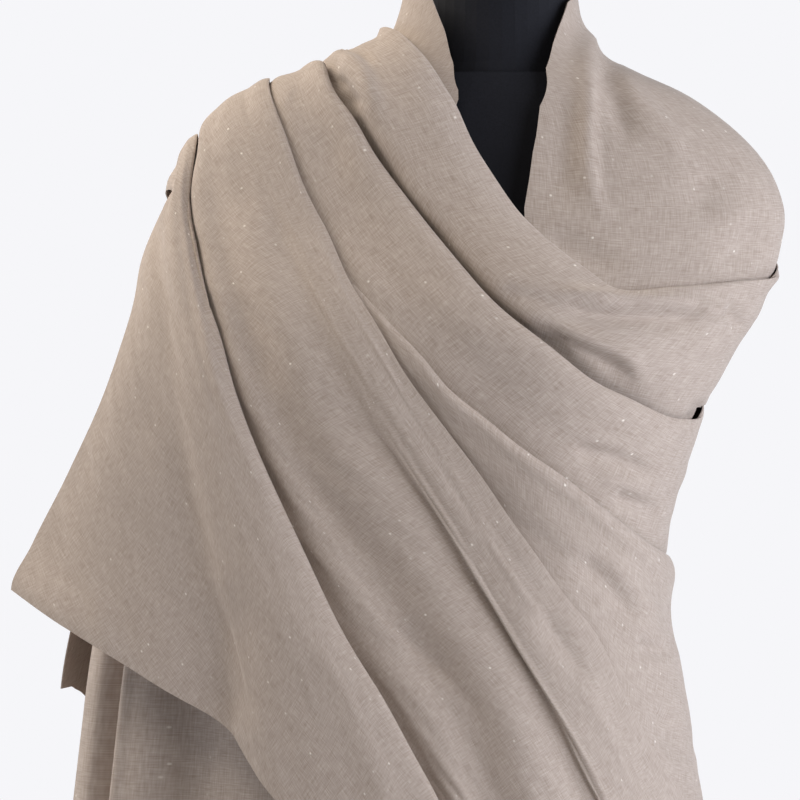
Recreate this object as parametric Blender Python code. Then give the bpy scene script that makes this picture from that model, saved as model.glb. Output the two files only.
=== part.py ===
"""A pashmina shawl, 0.90 by 2.00 m, wound round a limbless dress form on a pole and round base.

The shawl hangs over the back from the nape. Its first end hangs at the wearer's right hip. Its second end comes
forward under the left shoulder, crosses the chest in knife pleats, and is thrown over the right shoulder.
Frame: +Z up, front towards -Y, +X towards the wearer's left, origin on the floor under the pole.

Every stretch of cloth lies on one smooth skin, the drape's mean form: a stack of half ellipses that differ left,
right, front and back. A place on the skin is an angle round the pole (0 in front, +90 at the wearer's left) and a
height. Fold lines are drawn on the front elevation, as seen by an eye at EYE_DISTANCE, and carried to the skin.
A stretch is lofted through threads: each thread follows a fold line, at a distance across it and lifted off it.
"""

import bpy
import numpy as np

MM = 0.001

# Cloth and seams, in millimetres
WALL = 1.2
SEAM = 0.4
TUCK = 18.0

# The eye that sees the front elevation, in millimetres
EYE_DISTANCE = 2600.0
EYE_HEIGHT = 1220.0
EYE_ACROSS = -77.0

# Where the thrown cloth comes round the wearer's left side and meets the back panel, in degrees
BACK_SEAM = 120.0
RIGHT_SEAM = 265.0
SEAM_ANGLE = 0.16
BACK_LIMIT = BACK_SEAM - SEAM_ANGLE

LINE_POINTS = 241
STATIONS = (0.0, 0.25, 0.5, 0.75, 0.9, 1.0)

# The skin, in millimetres: height, half width at the wearer's right and left, depth in front and behind
SKIN_COLUMNS = ("up", "right", "left", "front", "back")
SKIN = (
    (600, 326, 178, 186, 154),
    (700, 322, 172, 182, 150),
    (800, 318, 163, 176, 146),
    (912, 308, 149, 168, 140),
    (1000, 299, 135, 160, 133),
    (1050, 294, 127, 155, 128),
    (1100, 290, 124, 151, 124),
    (1150, 287, 129, 149, 121),
    (1200, 283, 145, 147, 120),
    (1253, 276, 169, 142, 121),
    (1288, 269, 192, 131, 122),
    (1316, 261, 206, 117, 122),
    (1340, 252, 212, 105, 121),
    (1361, 245, 214, 96, 119),
    (1390, 233, 206, 86, 113),
    (1410, 222, 194, 80, 106),
    (1425, 210, 179, 76, 99),
    (1440, 190, 160, 72, 92),
    (1456, 153, 138, 69, 84),
    (1467, 124, 118, 67, 79),
    (1480, 98, 95, 65, 74),
    (1492, 81, 77, 64, 70),
    (1510, 71, 65, 62, 67),
    (1528, 66, 59, 61, 66),
    (1560, 65, 57, 60, 66),
)

# The dress form, in millimetres: height, half width, depth in front and behind
TORSO_COLUMNS = ("up", "half", "front", "back")
TORSO = (
    (800, 142, 100, 108),
    (812, 147, 105, 114),
    (880, 148, 108, 118),
    (960, 136, 104, 108),
    (1030, 119, 94, 88),
    (1090, 110, 90, 80),
    (1150, 118, 100, 84),
    (1200, 130, 116, 94),
    (1250, 148, 128, 104),
    (1290, 176, 116, 110),
    (1316, 203, 103, 111),
    (1340, 212, 92, 110),
    (1361, 215, 84, 108),
    (1390, 207, 75, 103),
    (1410, 195, 70, 97),
    (1425, 180, 67, 90),
    (1440, 161, 64, 83),
    (1456, 138, 61, 76),
    (1467, 116, 59, 69),
)
NECK = (
    (0, 62, 57, 60),
    (8, 58, 56, 58),
    (40, 56, 55, 57),
    (104, 55, 55, 55),
)
CAP_HEIGHT = 12.0
CAP_INSET = 4.0
POLE_RADIUS = 14.0
BASE_RADIUS = 210.0
BASE_HEIGHT = 14.0
BASE_BEVEL = 4.0
POLE_SIDES = 24
BASE_SIDES = 64
FORM_SIDES = 36

# Fold lines. Front points are (across, up) on the front elevation, in millimetres, from the crest of the wearer's
# right shoulder towards the left. Over is (angle, rise from the first front point) behind the crest, and round is
# (angle, up) past the side. Lift is the height of the line off the skin at the six stations.
FOLD_LINES = {
    "roll_edge": dict(
        over=((-112, -2),),
        front=((-86, 1507), (-67, 1494), (-45, 1465), (-33, 1445), (-20, 1416), (-5, 1392), (18, 1360), (32, 1347),
               (54, 1329), (72, 1316), (91, 1303), (115, 1304), (147, 1307), (192, 1312), (209, 1315)),
        round=((92, 1326), (105, 1334), (120, 1338)),
        lift=(13, 15, 15, 12, 7.2, 4),
    ),
    "slot": dict(
        over=((-108, -3),),
        front=((-134, 1474), (-125, 1452), (-114, 1438), (-103, 1417), (-85, 1390), (-48, 1344), (-25, 1317),
               (-5, 1295), (23, 1272), (46, 1254), (74, 1232), (95, 1222), (118, 1211), (132, 1205), (145, 1204)),
        round=((88, 1218), (104, 1232), (120, 1238)),
        lift=(18, 22, 18, 13, 7.6, 4),
    ),
    "second_foot": dict(
        over=((-106, -5),),
        front=((-176, 1467), (-169, 1435), (-159, 1405), (-147, 1375), (-132, 1347), (-118, 1315), (-98, 1293),
               (-79, 1272), (-58, 1249), (-43, 1230), (-23, 1213), (-4, 1198), (18, 1180), (46, 1161), (78, 1136),
               (98, 1121), (117, 1107)),
        round=((90, 1100), (105, 1102), (120, 1105)),
        lift=(16, 14, 14, 12, 7.2, 4),
    ),
    "third_edge": dict(
        over=(),
        front=((-112, 1310), (-98, 1293), (-79, 1272), (-58, 1249), (-43, 1230), (-23, 1213), (-4, 1198),
               (18, 1180), (46, 1161), (78, 1136), (98, 1121), (117, 1107)),
        round=((90, 1100), (105, 1102), (120, 1105)),
        lift=(13, 15, 15, 12, 7.2, 4),
    ),
    "third_foot": dict(
        over=(),
        front=((-130, 1297), (-108, 1286), (-89, 1267), (-75, 1242), (-60, 1221), (-38, 1192), (-12, 1157),
               (9, 1126), (33, 1092), (48, 1071), (68, 1048), (92, 1000), (114, 958), (134, 925)),
        round=((90, 896), (105, 888), (120, 884)),
        lift=(14, 14, 12, 8, 5.6, 4),
    ),
    "knife_edge": dict(
        over=((-106, -4),),
        front=((-176, 1467), (-175, 1453), (-169, 1435), (-159, 1405), (-147, 1375), (-132, 1347), (-118, 1315),
               (-104, 1292), (-89, 1267), (-75, 1242), (-60, 1221), (-38, 1192), (-12, 1157), (9, 1126),
               (33, 1092), (48, 1071), (68, 1048), (92, 1000), (114, 958), (134, 925)),
        round=((90, 896), (105, 888), (120, 884)),
        lift=(20, 20, 17, 9, 6, 4),
    ),
    "panel_low": dict(
        over=((-105, -4),),
        front=((-186, 1462), (-172, 1405), (-152, 1360), (-124, 1300), (-90, 1235), (-50, 1165), (-8, 1088),
               (36, 1010), (80, 930), (118, 850)),
        round=((90, 768), (105, 722), (120, 690)),
        lift=(20, 20, 17, 9, 6, 4),
    ),
    "upper_valley": dict(
        over=((-104, -5),),
        front=((-200, 1458), (-190, 1400), (-165, 1330), (-138, 1267), (-118, 1219), (-104, 1198), (-82, 1170),
               (-40, 1108), (8, 1025), (48, 930), (78, 830), (98, 722)),
        round=(),
        lift=(20, 16, 12, 9, 7.2, 6),
    ),
    "lower_valley": dict(
        over=((-103, -6),),
        front=((-222, 1446), (-222, 1390), (-210, 1330), (-192, 1272), (-179, 1237), (-160, 1190), (-122, 1124),
               (-92, 1083), (-65, 1038), (-40, 1008), (-12, 940), (12, 850), (28, 745)),
        round=(),
        lift=(20, 14, 11, 9, 7.2, 6),
    ),
    "flap_fold": dict(
        over=((-102, -6),),
        front=((-236, 1432), (-242, 1394), (-234, 1342), (-228, 1312), (-218, 1272), (-208, 1235), (-195, 1198),
               (-178, 1159), (-160, 1120), (-139, 1075), (-115, 1029), (-89, 988), (-67, 947), (-48, 912),
               (-32, 866), (-20, 815)),
        round=(),
        lift=(18, 22, 24, 26, 26, 26),
    ),
    "flap_middle": dict(
        over=((-101, -6),),
        front=((-246, 1412), (-250, 1371), (-247, 1320), (-238, 1262), (-226, 1200), (-212, 1130), (-198, 1060),
               (-186, 985), (-172, 912)),
        round=(),
        lift=(18, 24, 28, 30, 30, 30),
    ),
    "flap_valley": dict(
        over=((-101, -6),),
        front=((-250, 1406), (-255, 1360), (-256, 1300), (-252, 1240), (-243, 1180), (-231, 1120), (-219, 1060),
               (-212, 1010), (-209, 966)),
        round=(),
        lift=(18, 23, 26, 27, 26.4, 26),
    ),
    "flap_edge": dict(
        over=((-100, -4),),
        front=((-255, 1388), (-263, 1357), (-275, 1302), (-289, 1263), (-306, 1220), (-323, 1182), (-350, 1128),
               (-376, 1074)),
        round=(),
        lift=(16, 19, 30, 55, 77.2, 92),
    ),
}

# Where the stations fall along the front panel's lines, so that its columns of points run straight across it
PANEL_PACE = {
    "panel_low": (0, 0.24, 0.44, 0.66, 0.83, 1),
    "upper_valley": (0, 0.28, 0.56, 0.82, 0.94, 1),
    "lower_valley": (0, 0.29, 0.58, 0.86, 0.96, 1),
    "flap_fold": (0, 0.3, 0.61, 0.92, 0.98, 1),
}

# The second end behind the right shoulder. Each line starts where two fold lines cross the crest, at a share
# between them and a lift, and goes down the back as rows of (angle, up, lift).
THROWN_GAP = 1.2
THROWN_COLUMNS = ("first", "second", "share", "lift", "down")
THROWN_LINES = (
    ("roll_edge", "roll_edge", 0.0, 12, ((-132, 1479, 10), (-155, 1434, 9), (-167, 1360, 9), (-172, 1250, 9),
                                         (-174, 1120, 10), (-174, 1010, 11))),
    ("roll_edge", "slot", 0.5, 20, ((-130, 1458, 19), (-150, 1412, 18), (-160, 1345, 19), (-164, 1240, 21),
                                    (-166, 1110, 24), (-166, 998, 27))),
    ("slot", "slot", 0.0, 12, ((-127, 1438, 9), (-144, 1390, 6.5), (-152, 1320, 5.6), (-155, 1210, 5.6),
                               (-157, 1090, 6), (-157, 985, 7))),
    ("slot", "second_foot", 0.5, 20, ((-122, 1430, 19), (-137, 1378, 19), (-144, 1305, 20), (-147, 1195, 22),
                                      (-148, 1075, 26), (-148, 974, 29))),
    ("knife_edge", "knife_edge", 0.0, 15, ((-118, 1420, 13), (-129, 1362, 12), (-135, 1290, 11), (-137, 1180, 11),
                                           (-138, 1065, 13), (-138, 966, 15))),
    ("panel_low", "upper_valley", 0.5, 21, ((-113, 1410, 20), (-121, 1352, 20), (-125, 1280, 21), (-127, 1175, 24),
                                            (-128, 1065, 28), (-128, 962, 31))),
    ("lower_valley", "lower_valley", 0.0, 17, ((-108, 1398, 15), (-113, 1342, 14), (-115, 1265, 14),
                                               (-117, 1170, 15), (-117, 1065, 18), (-117, 964, 21))),
    ("flap_fold", "flap_fold", 0.0, 18, ((-105, 1384, 19), (-106, 1332, 19), (-107, 1260, 21), (-107, 1170, 26),
                                         (-107, 1070, 34), (-107, 974, 40))),
    ("flap_edge", "flap_edge", 0.0, 13, ((-100, 1352, 13), (-98, 1312, 14), (-96, 1256, 16), (-95, 1170, 24),
                                         (-95, 1080, 32), (-95, 992, 36))),
)

# The under layer, which hangs over the back: flutes as (angle, depth at the hem), in degrees and millimetres
FLUTES = ((120, 0), (134, 8), (146, -2.5), (158, 7), (172, -2), (186, 2), (203, 0), (220, 2), (242, 0), (262, 2),
          (275, 16), (286.5, -14), (294, 9), (305, -2.5), (312, 5), (319, -2.5), (330, 2), (350, 0))
FLUTE_TOP = 1230.0
FLUTE_FULL = 980.0
UNDER_LIFT = 3.5

# Its top selvedge round the neck, as front points and (angle, up) rows, and its other borders as (angle, up) rows
NECK_EDGE_LEFT = ((18, 1364), (25, 1410), (30, 1445), (35, 1475), (41, 1495), (52, 1526))
NECK_EDGE_BACK = ((90, 1538), (120, 1544), (180, 1548), (240, 1545), (270, 1540))
NECK_EDGE_RIGHT = ((-52, 1528), (-43, 1505), (-36, 1479), (-32, 1458))
BACK_HEM = ((120, 690), (150, 672), (180, 662), (210, 664), (240, 672), (265, 678))
END_HEM = ((265, 678), (285, 682), (305, 690), (325, 702), (350, 715))
END_TOP = ((265, 1449), (280, 1446), (292, 1428), (305, 1370), (318, 1300), (332, 1240), (350, 1222))
END_INNER = 350.0
COLLAR_INNER = 349.5
COLLAR_FOOT = ((265, 1455), (285, 1452), (300, 1450), (317, 1445), (330, 1436), (344, 1420), (350, 1402))
SHOULDER_SEAM = 1.0
SHOULDER_TUCK = 22.0
TUCK_FADE = (94.0, 105.0)

SHARP_ANGLE = 0.6

BLACK_JERSEY = (0.012, 0.012, 0.016, 1.0)
BLACK_PLASTIC = (0.020, 0.020, 0.026, 1.0)
DARK_STEEL = (0.030, 0.030, 0.032, 1.0)
TAUPE_WOOL = (0.38, 0.31, 0.26, 1.0)


def spline(knots, values, at):
    """Natural cubic spline through values (a row for each knot), read at the places in at."""
    knots = np.asarray(knots, float)
    values = np.asarray(values, float)
    flat = values.reshape(len(knots), -1)
    count = len(knots)
    if count == 2:
        share = ((np.asarray(at) - knots[0]) / (knots[1] - knots[0]))[..., None]
        return (flat[0] * (1 - share) + flat[1] * share).reshape(np.shape(at) + values.shape[1:])
    step = np.diff(knots)
    slope = np.diff(flat, axis=0) / step[:, None]
    matrix = np.eye(count)
    right = np.zeros((count, flat.shape[1]))
    for i in range(1, count - 1):
        matrix[i, i - 1] = step[i - 1]
        matrix[i, i] = 2 * (step[i - 1] + step[i])
        matrix[i, i + 1] = step[i]
        right[i] = 3 * (slope[i] - slope[i - 1])
    bend = np.linalg.solve(matrix, right)
    at = np.asarray(at, float)
    cell = np.clip(np.searchsorted(knots, at) - 1, 0, count - 2)
    run = (at - knots[cell])[..., None]
    first = slope[cell] - step[cell][..., None] * (2 * bend[cell] + bend[cell + 1]) / 3
    third = (bend[cell + 1] - bend[cell]) / (3 * step[cell][..., None])
    result = flat[cell] + run * (first + run * (bend[cell] + run * third))
    return result.reshape(at.shape + values.shape[1:])


def steady(knots, values, at):
    """Smooth reading of a short table that never overshoots its values."""
    knots, values = np.asarray(knots, float), np.asarray(values, float)
    step = np.diff(knots)
    slope = np.diff(values) / step
    tangent = np.concatenate([np.zeros(len(knots) - 1), [slope[-1]]])
    rising = slope[:-1] * slope[1:] > 0
    mean = 2 * slope[:-1] * slope[1:] / np.where(rising, slope[:-1] + slope[1:], 1)
    tangent[1:-1] = np.where(rising, mean, 0)
    cell = np.clip(np.searchsorted(knots, at) - 1, 0, len(step) - 1)
    run = (at - knots[cell]) / step[cell]
    ease = run * run * (3 - 2 * run)
    start_pull = run * (1 - run) ** 2 * step[cell] * tangent[cell]
    end_pull = run * run * (run - 1) * step[cell] * tangent[cell + 1]
    return values[cell] * (1 - ease) + values[cell + 1] * ease + start_pull + end_pull


def smooth_table(rows, at):
    """Smooth reading of (angle, value) rows at the angles in at."""
    table = np.asarray(rows, float)
    return spline(table[:, 0], table[:, 1], at)


def skin_sizes(up):
    """Half width right and left, depth front and back at the heights in up, and how each changes with height."""
    table = np.asarray(SKIN, float)
    up = np.clip(np.asarray(up, float), table[0, 0], table[-1, 0])
    here = spline(table[:, 0], table[:, 1:], up)
    above = spline(table[:, 0], table[:, 1:], up + 0.5)
    below = spline(table[:, 0], table[:, 1:], up - 0.5)
    return here, above - below


def skin(angle, up, lift):
    """Points in millimetres, lifted off the skin along its normal."""
    angle = np.radians(np.asarray(angle, float))
    up = np.asarray(up, float)
    sine, cosine = np.sin(angle), np.cos(angle)
    size, change = skin_sizes(up)
    wide = np.where(sine < 0, size[..., 0], size[..., 1])
    deep = np.where(cosine > 0, size[..., 2], size[..., 3])
    wide_change = np.where(sine < 0, change[..., 0], change[..., 1])
    deep_change = np.where(cosine > 0, change[..., 2], change[..., 3])
    foot = np.stack([wide * sine, -deep * cosine, up], axis=-1)
    out = np.stack(
        [deep * sine, -wide * cosine, -(wide * deep_change * cosine**2 + deep * wide_change * sine**2)], axis=-1
    )
    out /= np.linalg.norm(out, axis=-1, keepdims=True)
    return foot + out * np.asarray(lift, float)[..., None], out


def place(points):
    """Angle and height on the skin of points that lie near it."""
    size, _ = skin_sizes(points[..., 2])
    wide = np.where(points[..., 0] < 0, size[..., 0], size[..., 1])
    deep = np.where(points[..., 1] < 0, size[..., 2], size[..., 3])
    return np.degrees(np.arctan2(points[..., 0] / wide, -points[..., 1] / deep)), points[..., 2]


def elevation(points):
    """Where the eye sees points on the front elevation: across and up, in millimetres."""
    scale = 1 + points[..., 1] / EYE_DISTANCE
    return EYE_ACROSS + (points[..., 0] - EYE_ACROSS) / scale, EYE_HEIGHT + (points[..., 2] - EYE_HEIGHT) / scale


def from_front(across, up, lift):
    """Angle and height on the skin that the eye sees at (across, up) with a lift, by Newton's steps."""
    across, target = np.asarray(across, float), np.asarray(up, float)
    size, _ = skin_sizes(target)
    wide = np.where(across < 0, size[..., 0], size[..., 1])
    sine = np.clip(across / (wide + lift), -0.98, 0.98)
    height = target.copy()
    nudge_sine, nudge_up, limit = 1e-4, 0.05, 0.9998

    def miss(sine, height):
        point, _ = skin(np.degrees(np.arcsin(sine)), height, lift)
        seen = elevation(point)
        return across - seen[0], target - seen[1]

    for _ in range(30):
        miss_a, miss_u = miss(sine, height)
        side = np.where(sine > 0, -nudge_sine, nudge_sine)
        sine_a, sine_u = miss(sine + side, height)
        up_a, up_u = miss(sine, height + nudge_up)
        aa, ua = (sine_a - miss_a) / side, (sine_u - miss_u) / side
        au, uu = (up_a - miss_a) / nudge_up, (up_u - miss_u) / nudge_up
        span = aa * uu - au * ua
        step_sine = np.clip(-(miss_a * uu - miss_u * au) / span, -0.1, 0.1)
        step_up = np.clip(-(aa * miss_u - ua * miss_a) / span, -15, 15)
        sine = np.clip(sine + step_sine, -limit, limit)
        height = height + step_up
    return np.degrees(np.arcsin(sine)), height


def along_stations(values):
    """A value, or one for each station, read along the whole line."""
    if np.ndim(values) == 0:
        return np.full(LINE_POINTS, float(values))
    return steady(STATIONS, values, np.linspace(0, 1, LINE_POINTS))


def evened(path, points):
    """Rows of path at even steps of the length that the points run through."""
    run = np.concatenate([[0], np.cumsum(np.linalg.norm(np.diff(points, axis=0), axis=-1))])
    even = np.linspace(0, run[-1], LINE_POINTS)
    return np.stack([np.interp(even, run, path[:, i]) for i in range(path.shape[1])], axis=-1)


def softened(path, passes=3):
    """A path with small hand jitters taken out, its ends kept."""
    for _ in range(passes):
        inner = (path[:-4] + path[1:-3] + path[2:-2] + path[3:-1] + path[4:]) / 5
        path = np.concatenate([path[:2], inner, path[-2:]])
    return path


def fold_line(line):
    """Angle and height along a fold line, at even steps from the crest to its end."""
    front = np.asarray(line["front"], float)
    before, after = len(line["over"]), len(line["round"])
    share = np.linspace(0, 1, before + len(front) + after)[before : before + len(front)]
    lift = steady(STATIONS, line["lift"], share)
    angle, up = from_front(front[:, 0], front[:, 1], lift)
    over = [(behind, up[0] + rise) for behind, rise in line["over"]]
    rows = over + list(zip(angle, up)) + list(line["round"])
    rows = np.asarray(rows, float)
    knots_at, _ = skin(rows[:, 0], rows[:, 1], np.zeros(len(rows)))
    knots = np.concatenate([[0], np.cumsum(np.linalg.norm(np.diff(knots_at, axis=0), axis=-1))])
    curve = spline(knots, knots_at, np.linspace(0, knots[-1], 4 * LINE_POINTS))
    angle, up = place(softened(evened(curve, curve)))
    return np.stack([np.minimum(angle, BACK_LIMIT), up], axis=-1)


def paced(line, shares):
    """The same line, its points moved along it so that the stations fall at these shares of its length."""
    own = np.linspace(0, 1, LINE_POINTS)
    at = spline(STATIONS, shares, own)
    return np.stack([np.interp(at, own, line[:, i]) for i in range(2)], axis=-1)


def thread(lines, first, second, share, across, lifts):
    """Points along a thread: between two fold lines, moved across by millimetres, lifted off the skin."""
    ends = [skin(lines[name][:, 0], lines[name][:, 1], np.zeros(LINE_POINTS))[0] for name in (first, second)]
    angle, up = place((1 - share) * ends[0] + share * ends[1])
    last = angle[-1]
    foot, out = skin(angle, up, np.zeros(LINE_POINTS))
    along = np.gradient(foot, axis=0)
    along /= np.linalg.norm(along, axis=-1, keepdims=True)
    side = np.cross(along, out)
    angle, up = place(foot + side * along_stations(across)[:, None])
    if last > BACK_SEAM - 1:
        near = np.clip(np.linspace(-3, 1, LINE_POINTS), 0, 1)
        angle = angle + (last - angle[-1]) * near * near * (3 - 2 * near)
    points, _ = skin(angle, up, along_stations(lifts))
    return points


def resample(points, columns):
    """Every thread at the same number of columns."""
    at = np.linspace(0, 1, columns)
    every = np.linspace(0, 1, points.shape[1])
    return np.stack([spline(every[::6], row[::6], at) for row in points])


def loft(threads, cuts):
    """Rows across a family of threads, by a smooth curve through each column; cuts are the steps in each span."""
    gaps = np.linalg.norm(np.diff(threads, axis=0), axis=-1)
    rows = []
    for column in range(threads.shape[1]):
        knots = np.concatenate([[0], np.cumsum(gaps[:, column])])
        at = [knots[0]]
        for span, count in enumerate(cuts):
            at.extend(np.linspace(knots[span], knots[span + 1], count + 1)[1:])
        rows.append(spline(knots, threads[:, column], np.array(at)))
    return np.stack(rows, axis=1)


def grid_normals(grid):
    """Unit normals of a grid of points."""
    rows = np.gradient(grid, axis=0)
    columns = np.gradient(grid, axis=1)
    out = np.cross(columns, rows)
    return out / np.linalg.norm(out, axis=-1, keepdims=True)


def material(name, colour, roughness, metallic=0.0):
    """One Principled material."""
    made = bpy.data.materials.new(name)
    made.use_nodes = True
    shader = made.node_tree.nodes["Principled BSDF"]
    shader.inputs["Base Color"].default_value = colour
    shader.inputs["Roughness"].default_value = roughness
    shader.inputs["Metallic"].default_value = metallic
    return made


def add_object(name, points, faces, finish):
    """A smooth-shaded mesh object, from points in millimetres."""
    mesh = bpy.data.meshes.new(name)
    mesh.from_pydata([tuple(p) for p in np.asarray(points) * MM], [], faces)
    mesh.validate()
    mesh.shade_smooth()
    made = bpy.data.objects.new(name, mesh)
    made.data.materials.append(finish)
    bpy.context.scene.collection.objects.link(made)
    return made


def add_wall(name, grid, finish):
    """A closed wall of cloth about a grid of points, whose rows run across and whose normals point out.

    Both sides are split along the same diagonals, the shorter ones, so that the wall keeps its thickness.
    """
    rows, columns = grid.shape[:2]
    out = grid_normals(grid)
    middle = grid.reshape(-1, 3)
    radial = middle * np.array([1, 1, 0])
    flip = -1 if (out.reshape(-1, 3) * radial).sum() < 0 else 1
    out = out.reshape(-1, 3) * flip
    count = rows * columns
    points = np.concatenate([middle + out * WALL / 2, middle - out * WALL / 2])
    index = np.arange(count).reshape(rows, columns)
    falling = np.linalg.norm(grid[1:, 1:] - grid[:-1, :-1], axis=-1)
    rising = np.linalg.norm(grid[:-1, 1:] - grid[1:, :-1], axis=-1)
    faces = []
    for i in range(rows - 1):
        for j in range(columns - 1):
            a, b, c, d = index[i, j], index[i, j + 1], index[i + 1, j + 1], index[i + 1, j]
            halves = ([a, b, c], [a, c, d]) if falling[i, j] < rising[i, j] else ([a, b, d], [b, c, d])
            for half in halves:
                faces.append(half if flip > 0 else half[::-1])
                faces.append([count + k for k in (half[::-1] if flip > 0 else half)])
    rim = list(index[0, :]) + list(index[1:, -1]) + list(index[-1, -2::-1]) + list(index[-2:0:-1, 0])
    for start, end in zip(rim, rim[1:] + rim[:1]):
        side = [end, start, count + start, count + end]
        faces.append(side if flip > 0 else side[::-1])
    return add_object(name, points, [[int(k) for k in face] for face in faces], finish)


def stretch(name, lines, threads, columns, cuts, finish):
    """One stretch of the thrown cloth, lofted through its threads."""
    family = np.stack([thread(lines, *row) for row in threads])
    grid = loft(resample(family, columns), cuts)
    angle, up = place(grid)
    past = skin(angle, up, np.zeros_like(up))[0] - skin(np.minimum(angle, BACK_LIMIT), up, np.zeros_like(up))[0]
    return add_wall(name, grid - past, finish)


def make_chest_roll(lines, finish):
    """The top pleat: its edge is turned under, and its foot runs under the second pleat."""
    edge, slot = "roll_edge", "slot"
    threads = (
        (edge, edge, 0, (12, 14, 14, 9, 0.6, 0.6), (9, 9, 9, 7.4, 5.9, 3.5)),
        (edge, edge, 0, (4, 4, 4, 3.6, 1.8, 1.8), (10.5, 10.5, 10.5, 9, 6.1, 3.5)),
        (edge, edge, 0, (0, 0, 0, 0.6, 3.2, 3.2), (13, 14, 14, 11.2, 6.6, 3.5)),
        (edge, edge, 0, 5, (17, 19, 18, 14, 7, 3.5)),
        (edge, slot, 0.25, 0, (20, 24, 22, 17, 8, 3.5)),
        (edge, slot, 0.5, 0, (21, 26, 24, 18, 8, 3.5)),
        (edge, slot, 0.75, 0, (20, 25, 23, 16, 8, 3.5)),
        (edge, slot, 1, -13, (17, 21, 20, 13, 7, 3.5)),
        (edge, slot, 1, (-5, -5, -5, -5, -7, -7), (13, 15, 15, 10, 6, 3.5)),
        (edge, slot, 1, (1, 1, 1, 1, -3.5, -3.5), (10, 8.5, 8.5, 7.5, 5.2, 3.5)),
        (edge, slot, 1, (TUCK, TUCK, TUCK, 14, -SEAM / 2, -SEAM / 2), (8.5, 5, 4.5, 4.8, 4.6, 3.5)),
    )
    return stretch("chest_roll", lines, threads, 30, [1] * 10, finish)


def make_second_pleat(lines, finish):
    """The next pleat: a raised, turned-under edge along the slot."""
    slot, foot = "slot", "second_foot"
    threads = (
        (slot, slot, 0, (4, 12, 12, 11, SEAM / 2, SEAM / 2), (12.5, 9.5, 9, 8.2, 6.2, 3.5)),
        (slot, slot, 0, (1.6, 4, 4, 4, 1.8, 1.8), (14.2, 13, 11.5, 9.8, 6.7, 3.5)),
        (slot, slot, 0, (-1, -1, -1, -1, 3.4, 3.4), (16.5, 18, 15, 11, 7.2, 3.5)),
        (slot, slot, 0, (0.2, 1, 1, 1, 5, 5), (18.6, 22, 19, 13, 7.5, 3.5)),
        (slot, foot, 0.16, 0, (20, 24, 21, 15, 8, 3.5)),
        (slot, foot, 0.35, 0, (18.6, 21, 19, 15, 8, 3.5)),
        (slot, foot, 0.58, 0, (16.6, 15, 14, 13, 8, 3.5)),
        (slot, foot, 0.78, 0, (14, 12, 12, 11, 7, 3.5)),
        (slot, foot, 0.92, 0, (12, 10.5, 10, 9.2, 6.5, 3.5)),
        (slot, foot, 1, (0.5, 1, 1, 1, -2.5, -2.5), (10.4, 7.8, 7.6, 7, 5.4, 3.5)),
        (slot, foot, 1, (5, TUCK, TUCK, 12, -SEAM / 2, -SEAM / 2), (8.9, 5.5, 5.2, 5, 4.6, 3.5)),
    )
    return stretch("second_pleat", lines, threads, 30, [1] * 10, finish)


def make_third_pleat(lines, finish):
    """The wedge that opens from under the knife edge towards the waist."""
    edge, foot = "third_edge", "third_foot"
    threads = (
        (edge, edge, 0, (3.6, 12, 12, 11, SEAM / 2, SEAM / 2), (9.8, 9.6, 9, 8, 6.2, 3.5)),
        (edge, edge, 0, (2.2, 4, 4, 4, 1.8, 1.8), (11.1, 11.6, 11.2, 9.8, 6.8, 3.5)),
        (edge, edge, 0, (1.6, -1, -1, -1, 3.4, 3.4), (12.6, 14.6, 13.4, 11.4, 7.3, 3.5)),
        (edge, edge, 0, (2.8, 1, 1, 1, 5, 5), (13.7, 18, 17, 13, 7.6, 3.5)),
        (edge, foot, 0.14, 2.4, (13, 19, 18.5, 14, 8, 3.5)),
        (edge, foot, 0.4, 2, (11.8, 17, 17, 14, 8.5, 4)),
        (edge, foot, 0.62, 2, (11.4, 12.5, 12, 12, 8, 4)),
        (edge, foot, 0.85, 2, (11, 9.5, 9, 9, 7, 4)),
        (edge, foot, 1, (5, 3, 3, -3, -4, -4), (10.5, 8.5, 8, 6.6, 5.2, 3.5)),
        (edge, foot, 1, (12, 16, 16, 0.6, -SEAM / 2, -SEAM / 2), (10, 7.5, 6.5, 4.8, 4.1, 3.5)),
    )
    return stretch("third_pleat", lines, threads, 26, [1] * 9, finish)


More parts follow.
